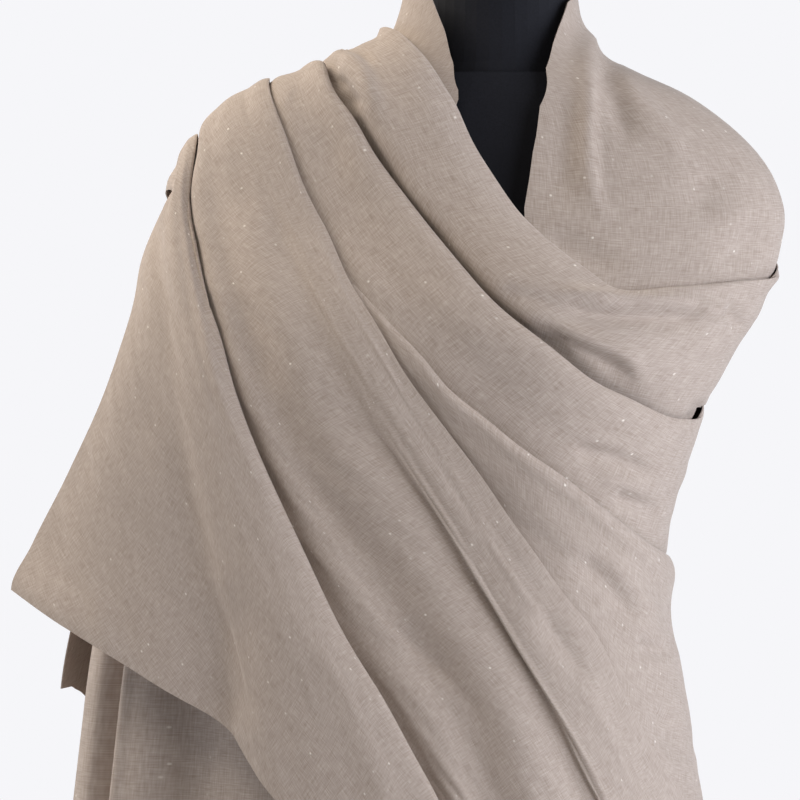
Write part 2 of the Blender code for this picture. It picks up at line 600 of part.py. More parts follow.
def make_front_panel(lines, finish):
    """The broad panel left of the knife edge, fanning out from the shoulder down to the lower selvedge."""
    knife, low, upper, lower, flap = "knife_edge", "panel_low", "upper_valley", "lower_valley", "flap_fold"
    lines = lines | {name: paced(lines[name], shares) for name, shares in PANEL_PACE.items()}
    threads = (
        (knife, knife, 0, (8, 12, 12, 1.4, 0.6, SEAM / 2), (14.5, 14.5, 14, 9.4, 7.9, 3.5)),
        (knife, knife, 0, (3, 3, 3, 2.2, 2, 1.8), (16.4, 16.4, 15.4, 10.4, 8.2, 3.5)),
        (knife, knife, 0, (0, 0, 0, 3.2, 3.5, 3.4), (20, 20, 18, 11.2, 8.5, 3.5)),
        (knife, low, 0.1, (1, 0, 0, 0, 0, 0), (22.5, 23, 21, 12, 9, 3.5)),
        (knife, low, 0.5, 0, (22.5, 21.5, 18, 12, 9, 4)),
        (knife, low, 1, 0, (22, 20, 17, 12, 9, 5)),
        (low, upper, 0.5, 0, (21.5, 21, 19, 15, 12, 10)),
        (upper, upper, 0, 0, (20, 15, 11.5, 10, 9, 8)),
        (upper, lower, 0.5, 0, (20, 21, 19, 18, 17, 16)),
        (lower, lower, 0, 0, (19, 12.5, 10, 9.5, 9, 8.5)),
        (lower, flap, 0.5, 0, (16, 16, 16, 17, 18, 18)),
        (lower, flap, 0.82, 0, (12.2, 14, 15, 15, 15, 15)),
        (flap, flap, 0, 0, (10.4, 11.6, 12, 12, 12, 12)),
        (flap, flap, 0, (8, 22, 22, 22, 22, 22), (8.6, 9.2, 9.5, 9.5, 9.5, 9.5)),
    )
    return stretch("front_panel", lines, threads, 30, [1, 1, 1, 1, 2, 1, 1, 1, 1, 1, 1, 1, 1], finish)


def make_shoulder_flap(lines, finish):
    """The outermost fold: rolled under on one side, it falls from the shoulder to a corner and a straight hem."""
    fold, middle, valley, edge = "flap_fold", "flap_middle", "flap_valley", "flap_edge"
    threads = (
        (fold, fold, 0, (5, 13, 16, 16, 16, 16), (12.4, 14.5, 14, 14, 14, 14)),
        (fold, fold, 0, (1.6, 4, 4, 4, 4, 4), (13.8, 16, 16, 16, 16, 16)),
        (fold, fold, 0, -1, (15.4, 19, 21, 23, 23, 23)),
        (fold, fold, 0, (0.4, 1, 1, 1, 1, 1), (17, 22.5, 27, 31, 31, 31)),
        (fold, middle, 0.26, 0, (17.6, 24.5, 31, 36, 36, 36)),
        (fold, middle, 0.55, 0, (17.8, 25.5, 33, 38, 38, 37)),
        (middle, middle, 0, 0, (17.6, 25, 32, 36, 35, 34)),
        (middle, valley, 0.55, 0, (17.4, 24, 30, 33, 31, 29)),
        (valley, valley, 0, 0, (17.2, 23, 28, 29, 26, 24)),
        (valley, edge, 0.22, 0, (17, 23, 30, 34, 34, 34)),
        (valley, edge, 0.48, 0, (16.8, 23, 32, 42, 48, 52)),
        (valley, edge, 0.75, 0, (16.4, 22, 32, 50, 62, 73)),
        (edge, edge, 0, 0, (16, 19, 30, 55, 77, 92)),
    )
    return stretch("shoulder_flap", lines, threads, 26, [1] * 12, finish)


def make_thrown_end(lines, finish):
    """The second end, fanning out down the back from the crest of the right shoulder."""
    family = []
    for first, second, share, lift, down in THROWN_LINES:
        angle, up = (1 - share) * lines[first][0] + share * lines[second][0]
        rows = np.array([(angle - THROWN_GAP, up, lift)] + list(down), float)
        even = np.linspace(0, len(rows) - 1, 22)
        family.append(spline(np.arange(len(rows)), rows, even))
    family = np.stack(family)
    points, _ = skin(family[..., 0], family[..., 1], family[..., 2])
    return add_wall("thrown_end", loft(points, [2] * (len(family) - 1)), finish)


def under_lift(angle, up):
    """Height of the under layer off the skin: flat on the shoulders, fluted towards the hem."""
    grow = np.clip((FLUTE_TOP - up) / (FLUTE_TOP - FLUTE_FULL), 0, None)
    grow = np.where(grow < 1, grow * grow * (3 - 2 * np.minimum(grow, 1)), 1 + 0.25 * (grow - 1))
    return UNDER_LIFT + grow * smooth_table(FLUTES, angle)


def neck_edge():
    """The top selvedge as (angle, up) rows, from the wearer's left front round the nape to the right front."""
    rows = []
    for table, turn in ((NECK_EDGE_LEFT, 0), (NECK_EDGE_RIGHT, 360)):
        front = np.asarray(table, float)
        angle, up = from_front(front[:, 0], front[:, 1], np.full(len(front), UNDER_LIFT))
        rows.append(list(zip(angle + turn, up)))
    return rows[0] + list(NECK_EDGE_BACK) + rows[1]


def under_layer(name, angles, foot, top, rows, finish):
    """A stretch of the under layer between two borders, which are heights at each angle."""
    share = np.linspace(0, 1, rows)[:, None]
    up = foot * (1 - share) + top * share
    angle = np.broadcast_to(angles, up.shape)
    points, _ = skin(angle, up, under_lift(angle, up))
    return add_wall(name, points, finish)


def make_under_layer(lines, finish):
    """The four stretches of the cloth that hangs round the neck, over the left shoulder and down the back."""
    edge = np.asarray(neck_edge())
    first = edge[0, 0] + 0.2
    angles = np.concatenate([np.linspace(first, 60, 12), np.linspace(67, BACK_SEAM - SEAM_ANGLE, 9)])
    roll = lines["roll_edge"]
    fade = np.clip((angles - TUCK_FADE[0]) / (TUCK_FADE[1] - TUCK_FADE[0]), 0, 1)
    foot = np.interp(angles, roll[:, 0], roll[:, 1]) - SHOULDER_TUCK * (1 - fade) + SHOULDER_SEAM * fade
    under_layer("left_shoulder", angles, foot, np.interp(angles, edge[:, 0], edge[:, 1]), 12, finish)

    angles = np.linspace(BACK_SEAM + SEAM_ANGLE, RIGHT_SEAM - SEAM_ANGLE, 32)
    top = np.interp(angles, edge[:, 0], edge[:, 1])
    under_layer("back_panel", angles, smooth_table(BACK_HEM, angles), top, 20, finish)

    angles = np.concatenate([np.linspace(RIGHT_SEAM + SEAM_ANGLE, 300, 5), np.linspace(307, COLLAR_INNER, 9)])
    top = np.interp(angles, edge[:, 0], edge[:, 1])
    under_layer("right_collar", angles, smooth_table(COLLAR_FOOT, angles), top, 6, finish)

    angles = np.linspace(RIGHT_SEAM + SEAM_ANGLE, END_INNER, 36)
    under_layer("hanging_end", angles, smooth_table(END_HEM, angles), smooth_table(END_TOP, angles), 16, finish)


def add_rings(name, rings, sides, finish):
    """A closed solid through level rings of (up, half width, front, back), capped flat at both ends."""
    turn = np.arange(sides) * 2 * np.pi / sides
    points = []
    for up, half, front, back in rings:
        deep = np.where(np.cos(turn) > 0, front, back)
        points.extend(np.stack([half * np.sin(turn), -deep * np.cos(turn), np.full(sides, up)], axis=-1))
    faces = []
    for ring in range(len(rings) - 1):
        for side in range(sides):
            after = (side + 1) % sides
            low, high = ring * sides, (ring + 1) * sides
            faces.append([low + side, low + after, high + after, high + side])
    last = (len(rings) - 1) * sides
    faces.append(list(range(sides))[::-1])
    faces.append([last + side for side in range(sides)])
    made = add_object(name, points, faces, finish)
    made.data.set_sharp_from_angle(angle=SHARP_ANGLE)
    return made


def make_form(jersey, plastic, steel):
    """The dress form and its stand, stacked on the base with a seam's gap between the pieces."""
    torso = np.asarray(TORSO, float)
    ups = np.concatenate([np.linspace(torso[0, 0], 1300, 14), np.linspace(1315, torso[-1, 0], 13)])
    body = [(up, *sizes) for up, sizes in zip(ups, spline(torso[:, 0], torso[:, 1:], ups))]
    add_rings("form_torso", body, FORM_SIDES, jersey)
    foot = torso[-1, 0] + SEAM
    neck = [(foot + rise, half, front, back) for rise, half, front, back in NECK]
    add_rings("form_neck", neck, FORM_SIDES, jersey)
    top = neck[-1][0] + SEAM
    rim = NECK[-1][1] - CAP_INSET
    cap = [(top, rim, rim, rim), (top + CAP_HEIGHT - CAP_INSET, rim, rim, rim)]
    cap.append((top + CAP_HEIGHT, rim - CAP_INSET, rim - CAP_INSET, rim - CAP_INSET))
    add_rings("form_cap", cap, FORM_SIDES, plastic)
    pole = [(up, POLE_RADIUS, POLE_RADIUS, POLE_RADIUS) for up in (BASE_HEIGHT + SEAM, torso[0, 0] - SEAM)]
    add_rings("stand_pole", pole, POLE_SIDES, steel)
    inner = BASE_RADIUS - BASE_BEVEL
    base = [(up, radius, radius, radius)
            for up, radius in ((0, BASE_RADIUS), (BASE_HEIGHT - BASE_BEVEL, BASE_RADIUS), (BASE_HEIGHT, inner))]
    add_rings("stand_base", base, BASE_SIDES, steel)


def build():
    for old in list(bpy.data.objects):
        bpy.data.objects.remove(old)
    wool = material("woven_pashmina", TAUPE_WOOL, 0.85)
    jersey = material("black_jersey", BLACK_JERSEY, 0.6)
    plastic = material("black_plastic", BLACK_PLASTIC, 0.4)
    steel = material("powder_coated_steel", DARK_STEEL, 0.45)
    lines = {name: fold_line(line) for name, line in FOLD_LINES.items()}
    make_under_layer(lines, wool)
    make_chest_roll(lines, wool)
    make_second_pleat(lines, wool)
    make_third_pleat(lines, wool)
    make_front_panel(lines, wool)
    make_shoulder_flap(lines, wool)
    make_thrown_end(lines, wool)
    make_form(jersey, plastic, steel)


if __name__ == "__main__":
    build()
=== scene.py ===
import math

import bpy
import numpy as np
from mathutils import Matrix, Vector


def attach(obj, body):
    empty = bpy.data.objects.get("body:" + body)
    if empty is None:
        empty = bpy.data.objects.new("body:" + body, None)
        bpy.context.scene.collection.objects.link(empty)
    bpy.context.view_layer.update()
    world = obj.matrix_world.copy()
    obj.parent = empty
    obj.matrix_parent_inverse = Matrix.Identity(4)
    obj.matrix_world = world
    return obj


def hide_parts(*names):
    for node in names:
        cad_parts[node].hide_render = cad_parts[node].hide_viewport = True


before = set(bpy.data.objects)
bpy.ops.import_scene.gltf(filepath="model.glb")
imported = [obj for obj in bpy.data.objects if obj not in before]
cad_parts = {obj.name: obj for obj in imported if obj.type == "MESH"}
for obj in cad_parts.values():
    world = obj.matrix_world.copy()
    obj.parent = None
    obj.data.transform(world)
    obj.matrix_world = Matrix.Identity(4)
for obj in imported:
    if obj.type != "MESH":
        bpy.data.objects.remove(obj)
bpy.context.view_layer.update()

# Looks of a pashmina shawl, 0.90 by 2.00 m, wound round a limbless dress form.
#
# The cloth hangs over the back from the nape, comes forward under the wearer's left shoulder, crosses the chest in
# knife pleats and is thrown over the right shoulder. Every stretch is a thin closed shell on its solid's form.
# Frame: +Z up, front towards -Y, +X towards the wearer's left, origin on the floor under the pole.
#
# A place on the drape's smooth mean form, the skin, is an angle round the pole (0 in front, +90 at the wearer's left)
# and a height. Lines are drawn in millimetres on the front elevation, as seen by the eye, and carried to the skin.

bl_info = {
    "name": "Pashmina Shawl on a Dress Form",
    "version": (1, 0, 0),
    "blender": (4, 5, 0),
    "location": "View3D > Sidebar > Shawl",
    "description": "Builds the woven cloth, the dress form's finishes and the studio",
    "category": "Object",
}

MM = 0.001
BODY = "root"
SHARP_ANGLE = math.radians(60)

# The eye that sees the front elevation, in millimetres
EYE_DISTANCE = 2600.0
EYE_HEIGHT = 1220.0
EYE_ACROSS = -77.0
VIEW_WIDTH = 615.38

# Where the thrown cloth comes round the wearer's left side and meets the back, in degrees
BACK_SEAM = 120.0
BACK_LIMIT = BACK_SEAM - 0.02

# Points along a fold line, in front and behind; how much finer its curve is before they are evened out; and every
# how many of a thread's points carry the thread's own curve
LINE_POINTS = 241
BACK_POINTS = 120
FINER = 4
THREAD_STEP = 4
# How many times jitters are evened out of a fold line, and unevenness out of the cloth's flat places
LINE_PASSES = 3
CLOTH_PASSES = 12
# Shares of a line's length, in front from crest to end and behind from crest to hem, at which tables give a value
STATIONS = (0.0, 0.25, 0.5, 0.75, 0.9, 1.0)
BACK_STATIONS = (0.0, 0.45, 1.0)

# The skin, in millimetres: height, half width at the wearer's right and left, depth in front and behind
SKIN = (
    (600, 326, 178, 186, 154), (700, 322, 172, 182, 150), (800, 318, 163, 176, 146), (912, 308, 149, 168, 140),
    (1000, 299, 132, 160, 133), (1050, 294, 123, 155, 128), (1100, 290, 121, 151, 124), (1150, 287, 128, 149, 121),
    (1200, 283, 144, 147, 120), (1253, 276, 167, 142, 121), (1288, 269, 189, 131, 122), (1316, 261, 205, 117, 122),
    (1340, 252, 212, 105, 121), (1361, 245, 213, 96, 119), (1390, 233, 204, 86, 113), (1410, 222, 192, 80, 106),
    (1425, 210, 177, 76, 99), (1440, 190, 158, 72, 92), (1456, 154, 131, 69, 84), (1467, 125, 105, 67, 79),
    (1480, 101, 80, 65, 74), (1492, 86, 67, 64, 70), (1510, 76, 59, 62, 67), (1528, 71, 56, 61, 66),
    (1560, 70, 55, 60, 66),
)

# Stretches that two fold lines have in common: where the second pleat crosses the wedge, the knife edge above and
# below that crossing, and the ways round the side and down the back
CROSSING = ((-98, 1293), (-79, 1272), (-58, 1249), (-43, 1230), (-23, 1213), (-4, 1198), (18, 1180), (46, 1161),
            (78, 1136), (98, 1121), (117, 1107))
UPPER_KNIFE = ((-169, 1435), (-159, 1405), (-147, 1375), (-132, 1347), (-118, 1315))
LOWER_KNIFE = ((-89, 1267), (-75, 1242), (-60, 1221), (-38, 1192), (-12, 1157), (9, 1126), (33, 1092), (48, 1071),
               (68, 1048), (92, 1000), (114, 958), (134, 925))
ROUND_SECOND = ((90, 1100), (105, 1102), (120, 1105))
ROUND_KNIFE = ((90, 896), (105, 888), (120, 884))
BEHIND_KNIFE = ((-118, 1420), (-129, 1362), (-135, 1290), (-137, 1180), (-138, 1065), (-138, 966))

# Fold lines. Front points are (across, up) on the front elevation, from the crest of the wearer's right shoulder
# towards the left. Over is (angle, rise from the first front point) behind the crest, round is (angle, up) past the
# side, lift is the line's height off the skin at the six stations, and behind is (angle, up) from crest to hem.
FOLD_LINES = {
    "roll_edge": dict(
        over=((-112, -2),),
        front=((-86, 1507), (-67, 1494), (-45, 1465), (-33, 1445), (-20, 1416), (-5, 1392), (18, 1360), (32, 1347),
               (54, 1329), (72, 1316), (91, 1303), (115, 1304), (147, 1307), (192, 1312), (209, 1315)),
        round=((92, 1326), (105, 1334), (120, 1338)),
        lift=(13, 14, 14, 11, 6.5, 3.5),
        behind=((-132, 1479), (-155, 1434), (-167, 1360), (-172, 1250), (-174, 1120), (-174, 1010)),
    ),
    "slot": dict(
        over=((-108, -3),),
        front=((-134, 1474), (-125, 1452), (-114, 1438), (-103, 1417), (-85, 1390), (-48, 1344), (-25, 1317),
               (-5, 1295), (23, 1272), (46, 1254), (74, 1232), (95, 1222), (118, 1211), (132, 1205), (145, 1204)),
        round=((88, 1218), (104, 1232), (120, 1238)),
        lift=(14.6, 20, 17.4, 11.6, 6.5, 3.5),
        behind=((-127, 1438), (-144, 1390), (-152, 1320), (-155, 1210), (-157, 1090), (-157, 985)),
    ),
    "second_foot": dict(
        over=((-106, -5),),
        front=((-176, 1467), *UPPER_KNIFE, *CROSSING),
        round=ROUND_SECOND,
        lift=(12.6, 13, 12.6, 10.4, 6.3, 3.5),
        behind=BEHIND_KNIFE,
    ),
    "third_edge": dict(
        over=(),
        front=((-112, 1310), *CROSSING),
        round=ROUND_SECOND,
        lift=(11.2, 14.6, 14, 10.8, 6.4, 3.5),
        behind=(),
    ),
    "third_foot": dict(
        over=(),
        front=((-130, 1297), (-108, 1286), *LOWER_KNIFE),
        round=ROUND_KNIFE,
        lift=(11, 11, 10, 8, 5.4, 3.6),
        behind=(),
    ),
    "knife_edge": dict(
        over=((-106, -4),),
        front=((-176, 1467), (-175, 1453), *UPPER_KNIFE, (-104, 1292), *LOWER_KNIFE),
        round=ROUND_KNIFE,
        lift=(18.6, 15.4, 14.8, 11, 6.5, 3.5),
        behind=BEHIND_KNIFE,
    ),
    "panel_low": dict(
        over=((-105, -4),),
        front=((-186, 1462), (-172, 1405), (-152, 1360), (-124, 1300), (-90, 1235), (-50, 1165), (-8, 1088),
               (36, 1010), (80, 930), (118, 850)),
        round=((90, 768), (105, 722), (120, 690)),
        lift=(17, 18.4, 16.4, 11.4, 7.4, 5),
        behind=((-115, 1414), (-125, 1357), (-130, 1284), (-132, 1178), (-133, 1065), (-133, 965)),
    ),
    "upper_valley": dict(
        over=((-104, -5),),
        front=((-200, 1458), (-190, 1400), (-165, 1330), (-138, 1267), (-118, 1219), (-104, 1198), (-82, 1170),
               (-40, 1108), (8, 1025), (48, 930), (78, 830), (98, 722)),
        round=(),
        lift=(18.4, 16.6, 13.4, 11, 9.4, 8.4),
        behind=((-112, 1408), (-120, 1352), (-124, 1278), (-126, 1175), (-127, 1065), (-127, 963)),
    ),
    "lower_valley": dict(
        over=((-103, -6),),
        front=((-222, 1446), (-222, 1390), (-210, 1330), (-192, 1272), (-179, 1237), (-160, 1190), (-122, 1124),
               (-92, 1083), (-65, 1038), (-40, 1008), (-12, 940), (12, 850), (28, 745)),
        round=(),
        lift=(19.6, 13.6, 11, 9.8, 9, 8.5),
        behind=((-108, 1398), (-113, 1342), (-115, 1265), (-117, 1170), (-117, 1065), (-117, 964)),
    ),
    "flap_fold": dict(
        over=((-102, -6),),
        front=((-233, 1424), (-239, 1390), (-234, 1342), (-228, 1312), (-218, 1272), (-208, 1235), (-195, 1198),
               (-178, 1159), (-160, 1120), (-139, 1075), (-115, 1029), (-89, 988), (-67, 947), (-48, 912),
               (-32, 866), (-20, 815)),
        round=(),
        lift=(17, 17.8, 21, 23, 23, 23),
        behind=((-105, 1384), (-106, 1332), (-107, 1260), (-107, 1170), (-107, 1070), (-107, 980)),
    ),
    "flap_middle": dict(
        over=((-101, -6),),
        front=((-246, 1412), (-250, 1371), (-247, 1320), (-238, 1262), (-226, 1200), (-212, 1130), (-198, 1060),
               (-186, 985), (-172, 912)),
        round=(),
        lift=(20, 25, 32, 36, 35, 34),
        behind=((-104, 1380), (-104, 1328), (-104, 1260), (-104, 1170), (-104, 1075), (-104, 987)),
    ),
    "flap_valley": dict(
        over=((-101, -6),),
        front=((-250, 1406), (-255, 1360), (-256, 1300), (-252, 1240), (-243, 1180), (-231, 1120), (-219, 1060),
               (-212, 1010), (-209, 966)),
        round=(),
        lift=(17, 22.4, 28, 29, 26, 24),
        behind=((-102.5, 1375), (-101.5, 1325), (-101, 1260), (-100.5, 1170), (-100.5, 1078), (-100.5, 992)),
    ),
    "flap_edge": dict(
        over=((-100, -4),),
        front=((-258, 1388), (-267, 1357), (-280, 1302), (-291, 1263), (-306, 1220), (-323, 1182), (-350, 1128),
               (-376, 1074)),
        round=(),
        lift=(15, 19, 32, 55, 77, 92),
        behind=((-100, 1366), (-98, 1320), (-96, 1260), (-95, 1170), (-95, 1080), (-95, 992)),
    ),
}

# Each stretch of the thrown cloth is a family of threads that run along its fold lines. A thread's row gives where it
# lies among them (0 on the first, 1.5 half way from the second to the third), millimetres across, lift at the six
# stations, and across and lift behind, half way down and at the hem.
CHEST_ROLL_LINES = ("roll_edge", "slot")
CHEST_ROLL = (
    (0, (12, 14, 14, 7, 0, 0), (9, 9, 9, 8, 5.2, 3.5), (12, 12), (5.6, 6.2)),
    (0, (4, 4, 4, 4, 1.8, 1.8), (10.5, 10.5, 10.5, 9, 5.4, 3.5), (4, 4), (7, 7.6)),
    (0, (0, 0, 0, 0, 3.2, 3.2), (13, 14, 14, 11, 6.2, 3.5), (0, 0), (9.5, 10.5)),
    (0.09, 0, (12, 19, 18, 12.4, 6, 3.5), (0, 0), (14, 15)),
    (0.25, 0, (8.5, 24, 22, 14.6, 6.6, 3.5), (0, 0), (17, 21)),
    (0.5, 0, (12.4, 26, 24.4, 15.4, 6.6, 3.5), (0, 0), (19, 25)),
    (0.67, 0, (17.4, 25, 24, 15, 6.6, 3.5), (0, 0), (18, 23.4)),
    (0.79, 0, (18.4, 22.6, 22, 14, 6.4, 3.5), (0, 0), (15.4, 19)),
    (0.88, 0, (15.6, 17, 18, 11, 5.9, 3.5), (0, 0), (11.4, 14)),
    (0.955, 0, (11.6, 7.6, 9, 7.6, 5.3, 3.5), (0, 0), (8.2, 9.6)),
    (1, (1, 1, 1, 1, -3.5, -3.5), (8.4, 4, 4, 4.8, 4.4, 3.5), (1, 1), (6.2, 6.8)),
    (1, (18, 18, 18, 14, 0, 0), (6, 4, 3.8, 4.4, 4, 3.5), (18, 18), (5.2, 5.6)),
)
SECOND_PLEAT_LINES = ("slot", "second_foot")
SECOND_PLEAT = (
    (0, (12, 12, 12, 6, 0, 0), (10.5, 9.5, 9, 8, 5.3, 3.5), (12, 12), (8.4, 9)),
    (0, (4, 4, 4, 4, 1.8, 1.8), (12, 13, 11.5, 9, 5.6, 3.5), (4, 4), (10, 11)),
    (0, (-1, -1, -1, -1, 3.4, 3.4), (16.6, 18, 15, 10.2, 6, 3.5), (-1, -1), (13, 15)),
    (0.03, 0, (18, 21.6, 19, 12, 6.6, 3.5), (0, 0), (16, 19)),
    (0.12, 0, (17, 23, 21, 13.4, 6.8, 3.5), (0, 0), (18, 23)),
    (0.35, 0, (16, 19.6, 19, 13.4, 6.8, 3.5), (0, 0), (18, 25)),
    (0.6, 0, (17, 15.4, 15, 11.8, 6.6, 3.5), (0, 0), (15, 21)),
    (0.82, 0, (17.4, 13.6, 12.6, 10.2, 6, 3.5), (0, 0), (12.4, 16)),
    (0.94, 0, (16.4, 12.4, 11.4, 9.2, 5.6, 3.5), (0, 0), (10, 12)),
    (1, (4, 4, 4, 4, -2.5, -2.5), (14.4, 11.4, 10.2, 7.4, 5, 3.5), (4, 4), (8, 9)),
    (1, (18, 18, 18, 12, 0, 0), (9, 9, 8, 5, 4.4, 3.5), (18, 18), (6, 6.5)),
)
THIRD_PLEAT_LINES = ("third_edge", "third_foot")
THIRD_PLEAT = (
    (0, (4, 12, 12, 6, 0, 0), (10.6, 9.6, 9, 8.2, 6, 3.5), (), ()),
    (0, (1.8, 4, 4, 4, 1.8, 1.8), (10.8, 11.5, 11, 9.2, 6.2, 3.5), (), ()),
    (0, (0, -1, -1, -1, 3.4, 3.4), (11, 14, 13, 10.2, 6.4, 3.5), (), ()),
    (0, (1.6, 1, 1, 1, 5, 5), (11.4, 18, 17, 12, 6.6, 3.5), (), ()),
    (0.14, 2, (11.5, 19, 18.5, 12.6, 6.6, 3.5), (), ()),
    (0.4, 2, (11.5, 16.4, 16, 12.2, 6.6, 3.8), (), ()),
    (0.62, 2, (11.4, 13.6, 12.6, 10.6, 6.4, 3.8), (), ()),
    (0.85, 2, (11, 11.6, 10.6, 8.4, 5.8, 3.8), (), ()),
    (1, (5, 3, 3, 1, -4, -4), (10.5, 10.6, 9.2, 7, 4.9, 3.5), (), ()),
    (1, (12, 16, 16, 12, 0, 0), (10, 8.5, 7.5, 5, 4.2, 3.5), (), ()),
)
FRONT_PANEL_LINES = ("knife_edge", "panel_low", "upper_valley", "lower_valley", "flap_fold")
FRONT_PANEL = (
    (0, (10, 12, 12, 5, 0, 0), (16.4, 13.8, 13, 9, 6, 3.5), (10, 10), (11, 12)),
    (0, (3, 3, 3, 3, 1.5, 1.8), (17, 14, 13.4, 9.4, 6.2, 3.5), (3, 3), (12, 13.2)),
    (0, (0, 0, 0, 0, 3.2, 3.4), (18.6, 15.4, 14.8, 11, 6.5, 3.5), (0, 0), (14, 16)),
    (0.08, 0, (19, 16.4, 15.8, 11.6, 6.8, 3.5), (1, 1), (15.6, 18.6)),
    (0.5, 0, (19, 18.2, 16.8, 11.4, 6.8, 4), (0, 0), (18, 22)),
    (1, 0, (18, 18.6, 17, 12, 7.6, 5), (0, 0), (19, 25)),
    (1.55, 0, (18, 18, 15.6, 12, 9.4, 7.6), (0, 0), (20, 27)),
    (2, 0, (18.4, 16.6, 13.4, 11, 9.4, 8.4), (0, 0), (17, 22)),
    (2.5, 0, (19.4, 19.4, 18.6, 18, 17, 16), (0, 0), (19, 26)),
    (3, 0, (19.6, 13.6, 11, 9.8, 9, 8.5), (0, 0), (15, 20)),
    (3.5, 0, (19.4, 16.6, 16, 17, 18, 18), (0, 0), (15.5, 22)),
    (3.82, 0, (17, 16, 15, 15, 15, 15), (0, 0), (14, 19)),
    (4, 0, (14, 13.2, 12, 12, 12, 12), (0, 0), (12.5, 17)),
    (4, (8, 22, 22, 22, 22, 22), (11.4, 9.5, 9.5, 9.5, 9.5, 9.5), (8, 8), (10, 14)),
)
SHOULDER_FLAP_LINES = ("flap_fold", "flap_middle", "flap_valley", "flap_edge")
SHOULDER_FLAP = (
    (0, (5, 13, 16, 16, 16, 16), (15, 14.6, 14, 14, 14, 14), (5, 5), (14.5, 22)),
    (0, (1.6, 4, 4, 4, 4, 4), (15.8, 16, 16, 16, 16, 16), (1.6, 1.6), (16.5, 26)),
    (0, -1, (17, 17.8, 21, 23, 23, 23), (-1, -1), (19, 31)),
    (0.1, 0, (18.4, 20.6, 28, 31, 31, 31), (0, 0), (21, 37)),
    (0.3, 0, (19.6, 24.6, 31.4, 36, 36, 36), (0, 0), (20, 41)),
    (0.62, 0, (20, 25, 32.6, 38, 38, 37), (0, 0), (19.6, 42)),
    (1, 0, (20, 25, 32, 36, 35, 34), (0, 0), (19, 42)),
    (1.55, 0, (18.4, 24, 30, 33, 31, 29), (0, 0), (18.4, 42)),
    (2, 0, (17, 22.4, 28, 29, 26, 24), (0, 0), (18, 42)),
    (2.22, 0, (16.4, 22, 30, 34, 34, 34), (0, 0), (17.4, 42)),
    (2.48, 0, (16, 22, 33, 42, 48, 52), (0, 0), (17, 42)),
    (2.75, 0, (15.6, 21, 33.4, 50, 62, 73), (0, 0), (16.4, 42)),
    (3, 0, (15, 19, 32, 55, 77, 92), (0, 0), (15.6, 42)),
)

# The cloth that hangs over the back: flutes as (angle, depth at the hem), its selvedge round the neck, and its borders
FLUTES = ((112, 0), (120, 0), (124, 0.6), (134, 8), (146, -2.5), (158, 7), (172, -2), (186, 2), (203, 0), (220, 2),
          (242, 0), (262, 2), (272, 14), (281, 14), (284.4, 4), (287, -22), (289.6, -32), (292, -10), (293.6, 9),
          (297, 12), (301.6, 5), (305.6, -10), (309, -18), (313, -14), (318, -6), (330, 2), (350, 0))
FLUTE_TOP = 1230.0
FLUTE_FULL = 980.0
FLUTE_GROWTH = 0.25
UNDER_LIFT = 3.5
NECK_EDGE_LEFT = ((18, 1364), (25, 1410), (30, 1445), (35, 1475), (41, 1495), (52, 1526))
NECK_EDGE_BACK = ((90, 1538), (120, 1544), (180, 1548), (240, 1545), (270, 1540))
NECK_EDGE_RIGHT = ((-52, 1528), (-43, 1505), (-36, 1479), (-32, 1458), (-30, 1439), (-29, 1424))
CAPE_HEM = ((120, 690), (150, 672), (180, 662), (210, 664), (240, 672), (265, 678), (285, 682), (305, 690),
            (325, 702), (349.5, 715))
CAPE_WAIST = ((120, 1339), (150, 1335), (200, 1330), (240, 1330), (265, 1325), (300, 1310), (349.5, 1290))
CAPE_END = 349.5
CAPE_START_MARGIN = 0.2
# Columns of points as far as each angle, and rows above and below the waist line
CAPE_COLUMNS = ((BACK_SEAM, 100), (283, 112), (298, 38), (CAPE_END, 50))
CAPE_ROWS_ABOVE = 56
CAPE_ROWS_BELOW = 132
# The height at which the cloth's width is measured round the body
CAPE_RING = 1361.0
# On the left shoulder the cloth goes under the top roll by the tuck, which fades out to a seam behind, in degrees
SHOULDER_SEAM = 0.1
SHOULDER_TUCK = 22.0
TUCK_FADE = (94.0, 105.0)

# Where creases and ripples fade out, in degrees, and how far they stay off an edge, in millimetres
CAPE_CREASE_FADE = (95, 110)
CREST_CREASE_FADE = (-112, -98)
SIDE_CREASE_FADE = (100, 115)
SIDE_RIPPLE_FADE = (104, 118)
CALM_EDGE = 16
# Ripples of the thrown cloth: length along the threads and across them in millimetres, and share of the height
RIPPLES = ((170, 26, 1.0), (60, 13, 0.6))

